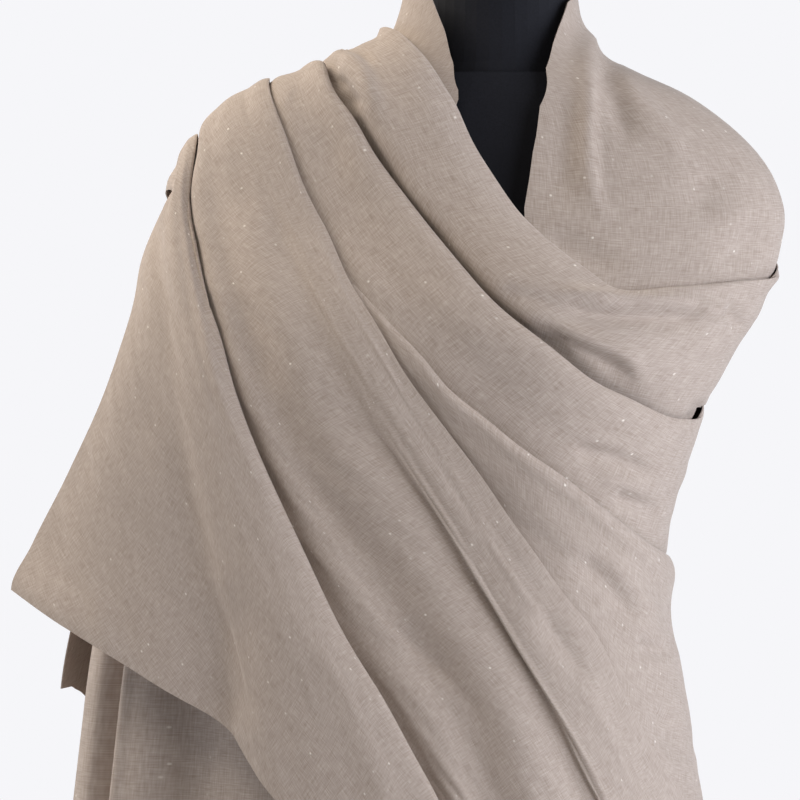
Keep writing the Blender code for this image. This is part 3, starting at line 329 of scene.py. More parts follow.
# Soft creases: points on the front elevation, height (a trough below zero), half width on each side, taper at the
# start and at the end as shares of its length
CHEST_ROLL_CREASES = (
    (((29, 1295), (58, 1291), (88, 1287), (125, 1286), (153, 1284), (165, 1283)), -6.5, (4, 9), (0.3, 0.2)),
    (((150, 1292), (166, 1289), (178, 1290)), 3.4, (4, 5), (0.3, 0.3)),
    (((170, 1294), (181, 1283), (188, 1272)), -5.0, (4, 5), (0.3, 0.3)),
    (((40, 1306), (62, 1302), (90, 1297), (125, 1296), (150, 1295), (166, 1294)), 5.0, (4, 4), (0.3, 0.3)),
    (((20, 1280), (44, 1268), (68, 1258), (88, 1248), (98, 1238), (102, 1224)), -7.0, (4, 9), (0.3, 0.3)),
    (((36, 1279), (62, 1268), (88, 1258), (106, 1244), (110, 1228)), 3.0, (5, 6), (0.3, 0.3)),
    (((142, 1200), (149, 1208), (158, 1218)), -3.4, (4, 4), (0.3, 0.3)),
    (((-4, 1306), (20, 1300), (54, 1293)), -2.0, (4, 6), (0.3, 0.4)),
    (((-131, 1481), (-121, 1485), (-111, 1480), (-102, 1464), (-95, 1443), (-88, 1424)), 3.4, (4, 5), (0.2, 0.5)),
    (((-127, 1489), (-115, 1491), (-104, 1486), (-95, 1477)), -3.4, (3.5, 4), (0.25, 0.4)),
    (((-129, 1472), (-122, 1463), (-115, 1452), (-107, 1439)), -4.5, (5, 5), (0.25, 0.35)),
    (((-86, 1404), (-62, 1372), (-38, 1343)), 1.4, (8, 9), (0.4, 0.4)),
)
SECOND_CREASES = (
    (((50, 1186), (69, 1181), (99, 1172), (122, 1158)), -4.4, (4, 7), (0.3, 0.3)),
    (((84, 1149), (104, 1141), (126, 1133)), -4.2, (4, 6), (0.3, 0.3)),
    (((72, 1164), (96, 1156), (120, 1147)), 2.4, (6, 6), (0.3, 0.3)),
    (((-168, 1464), (-155, 1464), (-149, 1455), (-141, 1439), (-133, 1423), (-124, 1406), (-108, 1378)), -2.6, (8, 9),
     (0.25, 0.4)),
    (((-60, 1318), (-30, 1285), (4, 1252)), 1.4, (8, 8), (0.4, 0.4)),
)
THIRD_CREASES = (
    (((55, 1105), (85, 1078), (109, 1042)), -4.4, (6, 8), (0.3, 0.3)),
    (((82, 1105), (109, 1066), (127, 1042)), 3.0, (6, 6), (0.3, 0.3)),
    (((103, 1032), (118, 1029), (134, 1025)), -4.4, (4, 5), (0.3, 0.3)),
    (((117, 986), (134, 960), (147, 940)), -4.0, (6, 7), (0.3, 0.3)),
)
PANEL_CREASES = (
    (((-77, 1053), (-58, 1024), (-32, 995)), -3.0, (9, 9), (0.35, 0.4)),
    (((28, 1064), (48, 1034), (72, 995)), -3.6, (6, 10), (0.3, 0.4)),
    (((-205, 1306), (-189, 1262), (-171, 1220)), -2.6, (8, 9), (0.4, 0.4)),
    (((-197, 1436), (-183, 1374), (-171, 1326)), 1.6, (8, 8), (0.35, 0.4)),
    (((-207, 1420), (-203, 1388), (-196, 1351)), -1.8, (12, 12), (0.4, 0.4)),
)
FLAP_CREASES = (
    (((-250, 1414), (-251, 1356), (-247, 1312), (-241, 1276)), 2.8, (4, 6), (0.25, 0.35)),
    (((-240, 1397), (-235, 1351), (-227, 1297), (-218, 1256)), -2.8, (7, 7), (0.3, 0.35)),
    (((-209, 1092), (-207, 1040), (-203, 956)), -3.6, (13, 11), (0.4, 0.3)),
    (((-262, 1330), (-268, 1240), (-290, 1150)), -1.8, (14, 14), (0.4, 0.4)),
)
CAPE_CREASES = (
    (((68, 1516), (68, 1450), (69, 1392), (77, 1366), (92, 1347)), 5.6, (4, 7), (0.15, 0.35)),
    (((76, 1486), (87, 1462), (96, 1434), (106, 1414)), -5.0, (6, 7), (0.25, 0.35)),
    (((86, 1486), (101, 1456), (119, 1437), (132, 1421), (134, 1384)), 3.8, (5, 9), (0.25, 0.4)),
    (((52, 1470), (50, 1430), (48, 1390), (52, 1362)), -3.2, (9, 8), (0.35, 0.35)),
    (((152, 1402), (158, 1380), (160, 1358)), -3.6, (12, 12), (0.4, 0.4)),
    (((204, 1362), (190, 1340), (166, 1320)), -5.0, (9, 9), (0.35, 0.35)),
    (((34, 1352), (60, 1336), (84, 1326), (100, 1322)), -3.0, (7, 7), (0.3, 0.4)),
    (((206, 1420), (212, 1380), (210, 1335)), 2.0, (34, 34), (0.4, 0.4)),
)

# The thrown cloth's pieces: fold lines, threads, creases, columns of points, ripple in millimetres, turn of the grain
# in degrees, seed of the ripples, the solids that the piece stands for, its flat size in metres and what it rests on
STRETCHES = {
    "top_roll": (CHEST_ROLL_LINES, CHEST_ROLL, CHEST_ROLL_CREASES, 400, 0.5, 0, 11,
                 ("chest_roll",), (0.15, 1.10), ["cape"]),
    "middle_pleat": (SECOND_PLEAT_LINES, SECOND_PLEAT, SECOND_CREASES, 400, 0.5, 0, 21,
                     ("second_pleat",), (0.13, 1.15), ["top_roll", "cape"]),
    "wedge_pleat": (THIRD_PLEAT_LINES, THIRD_PLEAT, THIRD_CREASES, 260, 0.5, 0, 31,
                    ("third_pleat",), (0.13, 0.60), ["middle_pleat", "form_torso"]),
    "broad_panel": (FRONT_PANEL_LINES, FRONT_PANEL, PANEL_CREASES, 340, 0.6, 0, 41,
                    ("front_panel", "thrown_end"), (0.22, 1.20), ["middle_pleat", "wedge_pleat", "cape"]),
    "shoulder_fall": (SHOULDER_FLAP_LINES, SHOULDER_FLAP, FLAP_CREASES, 340, 0.6, 24, 51,
                      ("shoulder_flap",), (0.15, 0.85), ["broad_panel", "cape"]),
}

# Square area lights: name, place and aim in metres, side in metres, power in watts, and colour
LIGHTS = (
    ("window", (1.9, -1.5, 1.5), (0, 0, 1.1), 1.6, 52, "daylight"),
    ("side_window", (2.4, -0.2, 1.5), (0, 0, 1.1), 1.4, 33, "daylight"),
    ("low_left", (-2.0, -1.0, 0.9), (-0.3, 0, 1.0), 1.0, 7, "daylight"),
    ("front_top", (-0.3, -1.7, 2.9), (-0.05, 0, 1.2), 1.4, 13, "lamplight"),
    ("skylight", (-1.4, 0.2, 2.7), (0, 0, 1.3), 1.2, 46, "lamplight"),
    ("far_side", (-2.0, 0.7, 1.5), (-0.2, 0, 1.1), 1.2, 10, "daylight"),
    ("back_window", (0.5, 2.4, 1.6), (0, 0, 1.1), 1.6, 30, "daylight"),
)
FLOOR_RADIUS = 3.0
FLOOR_SIDES = 96
FLOOR_UP = -0.0005
SENSOR_WIDTH = 36


def linear(code):
    """Linear RGBA of an sRGB hex colour."""
    parts = [int(code[k : k + 2], 16) / 255 for k in (1, 3, 5)]
    return tuple(p / 12.92 if p <= 0.04045 else ((p + 0.055) / 1.055) ** 2.4 for p in parts) + (1.0,)


def ease(share):
    """A share from 0 to 1, level at both ends."""
    return share * share * (3 - 2 * share)


def smoothstep(low, high, at):
    """Zero below low, one above high, eased between."""
    return ease(np.clip((at - low) / (high - low), 0, 1))


def spline(knots, values, at):
    """Natural cubic spline through values (a row for each knot), read at the places in at."""
    knots = np.asarray(knots, float)
    values = np.asarray(values, float)
    flat = values.reshape(len(knots), -1)
    count = len(knots)
    step = np.diff(knots)
    slope = np.diff(flat, axis=0) / step[:, None]
    matrix = np.eye(count)
    right = np.zeros((count, flat.shape[1]))
    for i in range(1, count - 1):
        matrix[i, i - 1] = step[i - 1]
        matrix[i, i] = 2 * (step[i - 1] + step[i])
        matrix[i, i + 1] = step[i]
        right[i] = 3 * (slope[i] - slope[i - 1])
    bend = np.linalg.solve(matrix, right)
    at = np.asarray(at, float)
    cell = np.clip(np.searchsorted(knots, at) - 1, 0, count - 2)
    run = (at - knots[cell])[..., None]
    first = slope[cell] - step[cell][..., None] * (2 * bend[cell] + bend[cell + 1]) / 3
    third = (bend[cell + 1] - bend[cell]) / (3 * step[cell][..., None])
    result = flat[cell] + run * (first + run * (bend[cell] + run * third))
    return result.reshape(at.shape + values.shape[1:])


def steady(knots, values, at):
    """Smooth reading of a short table that never overshoots its values and ends level."""
    knots, values = np.asarray(knots, float), np.asarray(values, float)
    step = np.diff(knots)
    slope = np.diff(values) / step
    tangent = np.zeros(len(knots))
    rising = slope[:-1] * slope[1:] > 0
    mean = 2 * slope[:-1] * slope[1:] / np.where(rising, slope[:-1] + slope[1:], 1)
    tangent[1:-1] = np.where(rising, mean, 0)
    cell = np.clip(np.searchsorted(knots, at) - 1, 0, len(step) - 1)
    run = (at - knots[cell]) / step[cell]
    start_pull = run * (1 - run) ** 2 * step[cell] * tangent[cell]
    end_pull = run * run * (run - 1) * step[cell] * tangent[cell + 1]
    return values[cell] * (1 - ease(run)) + values[cell + 1] * ease(run) + start_pull + end_pull


def smooth_table(rows, at):
    """Smooth reading of (angle, value) rows at the angles in at."""
    table = np.asarray(rows, float)
    return spline(table[:, 0], table[:, 1], at)


def lengths(points):
    """Running length along a path of points, from zero."""
    return np.concatenate([[0], np.cumsum(np.linalg.norm(np.diff(points, axis=0), axis=-1))])


def skin_sizes(up):
    """Half width right and left, depth front and back at the heights in up, and how each changes in a millimetre."""
    table = np.asarray(SKIN, float)
    up = np.clip(np.asarray(up, float), table[0, 0], table[-1, 0])
    here, above, below = (spline(table[:, 0], table[:, 1:], up + step) for step in (0, 0.5, -0.5))
    return here, above - below


def skin(angle, up, lift):
    """Points in millimetres, lifted off the skin along its normal, and the normals."""
    angle = np.radians(np.asarray(angle, float))
    up = np.asarray(up, float)
    sine, cosine = np.sin(angle), np.cos(angle)
    size, change = skin_sizes(up)
    wide = np.where(sine < 0, size[..., 0], size[..., 1])
    deep = np.where(cosine > 0, size[..., 2], size[..., 3])
    wide_change = np.where(sine < 0, change[..., 0], change[..., 1])
    deep_change = np.where(cosine > 0, change[..., 2], change[..., 3])
    foot = np.stack([wide * sine, -deep * cosine, up], axis=-1)
    out = np.stack(
        [deep * sine, -wide * cosine, -(wide * deep_change * cosine**2 + deep * wide_change * sine**2)], axis=-1
    )
    out /= np.linalg.norm(out, axis=-1, keepdims=True)
    return foot + out * np.asarray(lift, float)[..., None], out


def place(points):
    """Angle and height on the skin of points that lie near it."""
    size, _ = skin_sizes(points[..., 2])
    wide = np.where(points[..., 0] < 0, size[..., 0], size[..., 1])
    deep = np.where(points[..., 1] < 0, size[..., 2], size[..., 3])
    return np.degrees(np.arctan2(points[..., 0] / wide, -points[..., 1] / deep)), points[..., 2]


def elevation(points):
    """Where the eye sees points on the front elevation: across and up, in millimetres."""
    scale = 1 + points[..., 1] / EYE_DISTANCE
    across = EYE_ACROSS + (points[..., 0] - EYE_ACROSS) / scale
    return np.stack([across, EYE_HEIGHT + (points[..., 2] - EYE_HEIGHT) / scale], axis=-1)


def from_front(across, up, lift):
    """Angle and height on the skin that the eye sees at (across, up) with a lift, by Newton's steps."""
    across, target = np.asarray(across, float), np.asarray(up, float)
    size, _ = skin_sizes(target)
    wide = np.where(across < 0, size[..., 0], size[..., 1])
    sine = np.clip(across / (wide + lift), -0.98, 0.98)
    height = target.copy()
    nudge_sine, nudge_up = 1e-4, 0.05
    longest_sine, longest_up, limit = 0.1, 15, 0.9998
    steps = 30

    def miss(sine, height):
        point, _ = skin(np.degrees(np.arcsin(sine)), height, lift)
        seen = elevation(point)
        return across - seen[..., 0], target - seen[..., 1]

    for _ in range(steps):
        miss_a, miss_u = miss(sine, height)
        side = np.where(sine > 0, -nudge_sine, nudge_sine)
        sine_a, sine_u = miss(sine + side, height)
        up_a, up_u = miss(sine, height + nudge_up)
        aa, ua = (sine_a - miss_a) / side, (sine_u - miss_u) / side
        au, uu = (up_a - miss_a) / nudge_up, (up_u - miss_u) / nudge_up
        span = aa * uu - au * ua
        step_sine = np.clip(-(miss_a * uu - miss_u * au) / span, -longest_sine, longest_sine)
        step_up = np.clip(-(aa * miss_u - ua * miss_a) / span, -longest_up, longest_up)
        sine = np.clip(sine + step_sine, -limit, limit)
        height = height + step_up
    return np.degrees(np.arcsin(sine)), height


def along_line(values, behind, count):
    """A value read at every point of a line: behind, from the hem up to the crest, then along the front."""
    if np.ndim(values) == 0:
        values = (values,) * len(STATIONS)
    front = steady(STATIONS, values, np.linspace(0, 1, LINE_POINTS))
    if count == LINE_POINTS:
        return front
    down = steady(BACK_STATIONS, (values[0], *behind), np.linspace(0, 1, BACK_POINTS + 1))
    return np.concatenate([down[:0:-1], front])


def evened(path, points, count):
    """Rows of path at even steps of the length that the points run through."""
    run = lengths(points)
    even = np.linspace(0, run[-1], count)
    return np.stack([np.interp(even, run, path[:, i]) for i in range(path.shape[1])], axis=-1)


def evened_out(field, axis, passes):
    """A grid of numbers with each made the mean of its five neighbours along an axis, some times over, rims kept."""
    field = np.moveaxis(field, axis, 0)
    for _ in range(passes):
        inner = (field[:-4] + field[1:-3] + field[2:-2] + field[3:-1] + field[4:]) / 5
        field = np.concatenate([field[:2], inner, field[-2:]])
    return np.moveaxis(field, 0, axis)


def fold_line(line):
    """Angle and height along a fold line: up the back from the hem, over the crest and along the front."""
    front = np.asarray(line["front"], float)
    before, after = len(line["over"]), len(line["round"])
    share = np.linspace(0, 1, before + len(front) + after)[before : before + len(front)]
    # The lift depends on how far along the line a point is, which depends on the lift: four rounds settle it
    for _ in range(4):
        lift = steady(STATIONS, line["lift"], share)
        angle, up = from_front(front[:, 0], front[:, 1], lift)
        over = [(behind, up[0] + rise) for behind, rise in line["over"]]
        rows = np.asarray(over + list(zip(angle, up)) + list(line["round"]), float)
        knots_at, _ = skin(rows[:, 0], rows[:, 1], np.zeros(len(rows)))
        knots = lengths(knots_at)
        share = (knots / knots[-1])[before : before + len(front)]
    curve = spline(knots, knots_at, np.linspace(0, knots[-1], FINER * LINE_POINTS))
    curve = evened_out(evened(curve, curve, LINE_POINTS), 0, LINE_PASSES)
    angle, up = place(curve)
    path = np.stack([np.minimum(angle, BACK_LIMIT), up], axis=-1)
    if not line["behind"]:
        return path
    # A few points from the front carry the curve over the crest without a kink
    down = np.asarray(line["behind"], float)[::-1]
    down_at, _ = skin(down[:, 0], down[:, 1], np.zeros(len(down)))
    knots_at = np.concatenate([down_at, curve[:37:12]])
    knots = lengths(knots_at)
    curve = spline(knots, knots_at, np.linspace(0, knots[len(down)], FINER * BACK_POINTS))
    angle, up = place(evened(curve, curve, BACK_POINTS + 1)[:-1])
    return np.concatenate([np.stack([angle, up], axis=-1), path])


def thread(lines, row):
    """Points along a thread: between two fold lines, moved across by millimetres, lifted off the skin."""
    position, across, lifts, back_across, back_lifts = row
    first = min(int(position), len(lines) - 2)
    share = position - first
    count = len(lines[first])
    ends = [skin(line[:, 0], line[:, 1], np.zeros(count))[0] for line in lines[first : first + 2]]
    angle, up = place((1 - share) * ends[0] + share * ends[1])
    last = angle[-1]
    foot, out = skin(angle, up, np.zeros(count))
    along = np.gradient(foot, axis=0)
    along /= np.linalg.norm(along, axis=-1, keepdims=True)
    side = np.cross(along, out)
    angle, up = place(foot + side * along_line(across, back_across, count)[:, None])
    # A line that reaches the back seam has all its threads drawn on to it, over its last quarter
    if last > BACK_SEAM - 1:
        near = np.clip(np.linspace(-3, 1, LINE_POINTS), 0, 1)
        near = np.concatenate([np.zeros(count - LINE_POINTS), near])
        angle = angle + (last - angle[-1]) * ease(near)
    points, _ = skin(angle, up, along_line(lifts, back_lifts, count))
    return points


def loft(threads, columns, cell):
    """A fine grid across a family of threads, by a smooth curve along each thread and through each column."""
    at = np.linspace(0, 1, columns)
    every = np.linspace(0, 1, threads.shape[1])
    threads = np.stack([spline(every[::THREAD_STEP], row[::THREAD_STEP], at) for row in threads])
    gaps = np.linalg.norm(np.diff(threads, axis=0), axis=-1)
    # Rows between two threads are spaced for a gap that only its widest 30 per cent exceeds
    cuts = [max(3, int(np.ceil(np.percentile(gap, 70) / cell))) for gap in gaps]
    rows = []
    for column in range(columns):
        knots = np.concatenate([[0], np.cumsum(gaps[:, column])])
        places = [knots[:1]]
        for span, count in enumerate(cuts):
            places.append(np.linspace(knots[span], knots[span + 1], count + 1)[1:])
        rows.append(spline(knots, threads[:, column], np.concatenate(places)))
    return np.stack(rows, axis=1)


def grid_normals(grid):
    """Unit normals of a grid of points, towards the side that faces away from the pole."""
    rows = np.gradient(grid, axis=0)
    columns = np.gradient(grid, axis=1)
    out = np.cross(columns, rows)
    out /= np.maximum(np.linalg.norm(out, axis=-1, keepdims=True), 1e-9)
    radial = grid * np.array([1, 1, 0])
    return -out if (out * radial).sum() < 0 else out


def crease_heights(seen, creases):
    """Height added at places on the front elevation by soft creases, each with its own size and tapered ends."""
    total = np.zeros(seen.shape[:-1])
    flat = seen.reshape(-1, 2)
    for points, height, wide, taper in creases:
        points = np.asarray(points, float)
        run = lengths(points)
        # The crease's own line has a point every 3 mm, and its height is nothing at 3.5 half widths from it
        path = spline(run, points, np.linspace(0, run[-1], max(8, int(run[-1] / 3))))
        reach = 3.5 * max(wide)
        near = ((flat > path.min(0) - reach) & (flat < path.max(0) + reach)).all(-1)
        if not near.any():
            continue
        offset = flat[near][:, None] - path[None]
        far = np.linalg.norm(offset, axis=-1)
        nearest = far.argmin(1)
        pick = np.arange(len(nearest))
        direction = np.gradient(path, axis=0)[nearest]
        gap = offset[pick, nearest]
        left = direction[:, 0] * gap[:, 1] - direction[:, 1] * gap[:, 0] > 0
        share = nearest / (len(path) - 1)
        tapered = smoothstep(0, taper[0], share) * smoothstep(0, taper[1], 1 - share)
        spread = far[pick, nearest] / np.where(left, wide[0], wide[1])
        added = np.zeros(len(flat))
        added[near] = height * tapered * np.exp(-0.5 * spread**2)
        total += added.reshape(total.shape)
    return total


def ripples(along, across, long, short, seed):
    """Uneven soft waves of about unit height, long along the threads and short across them, in millimetres."""
    chance = np.random.default_rng(seed)
    u, v = along / long, across / short
    u, v = u - u.min(), v - v.min()
    field = chance.normal(size=(int(v.max()) + 3, int(u.max()) + 3))
    i, j = v.astype(int), u.astype(int)
    s, t = ease(v - i), ease(u - j)
    low = field[i, j] * (1 - t) + field[i, j + 1] * t
    high = field[i + 1, j] * (1 - t) + field[i + 1, j + 1] * t
    return low * (1 - s) + high * s


def cloth_places(grid):
    """Where each point of a grid lies on the flat cloth, in millimetres along and across, with threads kept even."""
    along = np.linalg.norm(np.diff(grid, axis=1), axis=-1)
    across = np.linalg.norm(np.diff(grid, axis=0), axis=-1)
    along = np.concatenate([np.zeros((grid.shape[0], 1)), np.cumsum(along, axis=1)], axis=1)
    across = np.concatenate([np.zeros((1, grid.shape[1])), np.cumsum(across, axis=0)], axis=0)
    # The threads are in step with each other a third of the way along
    third = grid.shape[1] // 3
    along = along - along[:, third : third + 1]
    return evened_out(along, 0, CLOTH_PASSES), evened_out(across, 1, CLOTH_PASSES)


def shell(name, grids, places, thickness, finish):
    """A thin closed shell about one or more grids of points, with the flat cloth's places as UVs.

    The last row of every further grid is the right-hand part of the first grid's own first row.
    """
    points, outs, flats, indices = [], [], [], []
    start = 0
    for grid, flat in zip(grids, places):
        out = grid_normals(grid)
        if indices:
            grid, out, flat = grid[:-1], out[:-1], flat[:-1]
        rows, columns = grid.shape[:2]
        index = np.arange(start, start + rows * columns).reshape(rows, columns)
        if indices:
            index = np.concatenate([index, indices[0][:1, -columns:]], axis=0)
        points.append(grid.reshape(-1, 3))
        outs.append(out.reshape(-1, 3))
        flats.append(flat.reshape(-1, 2))
        indices.append(index)
        start += rows * columns
    points, outs, flats = np.concatenate(points), np.concatenate(outs), np.concatenate(flats)
    count = len(points)
    quads = np.concatenate([
        np.stack([at[:-1, :-1], at[:-1, 1:], at[1:, 1:], at[1:, :-1]], axis=-1).reshape(-1, 4) for at in indices
    ])
    first = points[quads[:, 1]] - points[quads[:, 0]]
    second = points[quads[:, 3]] - points[quads[:, 0]]
    if (np.cross(first, second) * outs[quads[:, 0]]).sum() < 0:
        quads = quads[:, ::-1]
    edges = np.concatenate([quads[:, [k, (k + 1) % 4]] for k in range(4)])
    code = edges[:, 0] * count + edges[:, 1]
    back = edges[:, 1] * count + edges[:, 0]
    rim = edges[~np.isin(code, back)]
    sides = np.stack([rim[:, 1], rim[:, 0], rim[:, 0] + count, rim[:, 1] + count], axis=-1)
    faces = np.concatenate([quads, quads[:, ::-1] + count, sides])
    half = thickness / 2
    every = np.concatenate([points + outs * half, points - outs * half]) * MM
    mesh = bpy.data.meshes.new(name)
    mesh.vertices.add(len(every))
    mesh.vertices.foreach_set("co", every.ravel())
    mesh.loops.add(faces.size)
    mesh.loops.foreach_set("vertex_index", faces.ravel().astype(np.int32))
    mesh.polygons.add(len(faces))
    mesh.polygons.foreach_set("loop_start", np.arange(0, faces.size, 4, dtype=np.int32))
    mesh.update(calc_edges=True)
    layer = mesh.uv_layers.new(name="cloth")
    layer.uv.foreach_set("vector", (np.concatenate([flats, flats]) * MM)[faces.ravel()].ravel())
    mesh.validate()
    mesh.shade_smooth()
    mesh.set_sharp_from_angle(angle=SHARP_ANGLE)
    mesh.materials.append(finish)
    made = bpy.data.objects.new(name, mesh)
    bpy.context.scene.collection.objects.link(made)
    return made


def make_stretch(line_names, rows, creases, columns, cell, ripple, turn, seed):
    """One stretch of the thrown cloth: lofted through its threads, creased and rippled, its grain turned by degrees."""
    lines = [fold_line(FOLD_LINES[name]) for name in line_names]
    grid = loft(np.stack([thread(lines, row) for row in rows]), columns, cell)
    # Nothing goes past the back seam
    angle, up = place(grid)
    level = np.zeros_like(up)
    grid = grid - (skin(angle, up, level)[0] - skin(np.minimum(angle, BACK_LIMIT), up, level)[0])
    along, across = cloth_places(grid)
    out = grid_normals(grid)
    angle, _ = place(grid)
    front = smoothstep(*CREST_CREASE_FADE, angle) * (1 - smoothstep(*SIDE_CREASE_FADE, angle))
    height = crease_heights(elevation(grid), creases) * front
    calm = smoothstep(0, CALM_EDGE, across) * smoothstep(0, CALM_EDGE, across[-1:] - across)
    calm = calm * (1 - smoothstep(*SIDE_RIPPLE_FADE, angle))
    wave = sum(
        share * ripples(along, across, long, short, seed + number)
        for number, (long, short, share) in enumerate(RIPPLES)
    )
    grid = grid + out * (height + ripple * wave * calm)[..., None]
    cosine, sine = math.cos(math.radians(turn)), math.sin(math.radians(turn))
    return grid, np.stack([along * cosine - across * sine, along * sine + across * cosine], axis=-1)


def neck_edge():
    """The top selvedge as (angle, up) rows, from the wearer's left front round the nape to the right front."""
    rows = []
    for table, turn in ((NECK_EDGE_LEFT, 0), (NECK_EDGE_RIGHT, 360)):
        front = np.asarray(table, float)
        angle, up = from_front(front[:, 0], front[:, 1], np.full(len(front), UNDER_LIFT))
        rows.append(list(zip(angle + turn, up)))
    return rows[0] + list(NECK_EDGE_BACK) + rows[1]


def cape_surface(angle, up):
    """The cloth that hangs round the neck and down the back: its lift, fluted towards the hem, and its creases."""
    grow = np.clip((FLUTE_TOP - up) / (FLUTE_TOP - FLUTE_FULL), 0, None)
    grow = np.where(grow < 1, ease(grow), 1 + FLUTE_GROWTH * (grow - 1))
    depth = smooth_table(FLUTES, np.maximum(angle, FLUTES[0][0]))
    grid, out = skin(angle, up, UNDER_LIFT + grow * np.where(angle > BACK_SEAM, depth, 0))
    front = 1 - smoothstep(*CAPE_CREASE_FADE, angle)
    return grid, grid + out * (crease_heights(elevation(grid), CAPE_CREASES) * front)[..., None]


def cape_places(angle, up, grid):
    """Where the hanging cloth lies flat, in millimetres: round the body at one height, and along each column."""
    table = np.arange(-5, 360.5, 0.5)
    ring, _ = skin(table, np.full(len(table), CAPE_RING), 0.0)
    down = np.linalg.norm(np.diff(grid, axis=0), axis=-1)
    down = np.concatenate([np.zeros((1, grid.shape[1])), np.cumsum(down, axis=0)], axis=0)
    return np.stack([np.broadcast_to(np.interp(angle, table, lengths(ring)), up.shape), down + up[:1]], axis=-1)


def make_cape():
    """The two grids of the hanging cloth: shoulders and collar above, back and hanging end below."""
    edge = np.asarray(neck_edge())
    angles, low = [], edge[0, 0] + CAPE_START_MARGIN
    for high, count in CAPE_COLUMNS:
        angles.append(np.linspace(low, high, count)[:-1])
        low = high
    angles = np.concatenate([*angles, [CAPE_END]])
    top = np.interp(angles, edge[:, 0], edge[:, 1])
    roll = fold_line(FOLD_LINES["roll_edge"])[-LINE_POINTS:]
    fade = np.clip((angles - TUCK_FADE[0]) / (TUCK_FADE[1] - TUCK_FADE[0]), 0, 1)
    shoulder = np.interp(angles, roll[:, 0], roll[:, 1]) - SHOULDER_TUCK * (1 - fade) + SHOULDER_SEAM * fade
    waist = np.where(angles < BACK_SEAM, shoulder, smooth_table(CAPE_WAIST, np.maximum(angles, BACK_SEAM)))
    behind = angles >= BACK_SEAM
    hem = smooth_table(CAPE_HEM, angles[behind])
    grids, places = [], []
    for at, foot, head, rows in ((angles, waist, top, CAPE_ROWS_ABOVE),
                                 (angles[behind], hem, waist[behind], CAPE_ROWS_BELOW)):
        share = np.linspace(0, 1, rows)[:, None]
        up = foot * (1 - share) + head * share
        plain, creased = cape_surface(np.broadcast_to(at, up.shape), up)
        grids.append(creased)
        places.append(cape_places(at, up, plain))
    return grids, places


def add_node(tree, kind, sockets=None, **settings):
    """One node with its settings; sockets gives a value or another node's output for each named socket."""
    node = tree.nodes.new(kind)
    for name, value in settings.items():
        setattr(node, name, value)
    for name, value in (sockets or {}).items():
        if isinstance(value, bpy.types.NodeSocket):
            tree.links.new(value, node.inputs[name])
        else:
            node.inputs[name].default_value = value
    return node


def new_material(name):
    """An empty node material and its tree."""
    made = bpy.data.materials.new(name)
    made.use_nodes = True
    made.node_tree.nodes.clear()
    return made, made.node_tree


def close_material(tree, share, tones, shader, height=None, strength=0.0, distance=0.0):
    """Ends a material: two tones mixed by share, the shader's settings, and relief of a height in metres."""
    colour = add_node(tree, "ShaderNodeMix", {0: share, 6: tones[0], 7: tones[1]}, data_type="RGBA").outputs[2]
    sockets = {"Base Color": colour, **shader}
    if height is not None:
        bump = add_node(tree, "ShaderNodeBump", {"Height": height, "Strength": strength, "Distance": distance})
        sockets["Normal"] = bump.outputs["Normal"]
    surface = add_node(tree, "ShaderNodeBsdfPrincipled", sockets).outputs["BSDF"]
    add_node(tree, "ShaderNodeOutputMaterial", {"Surface": surface})


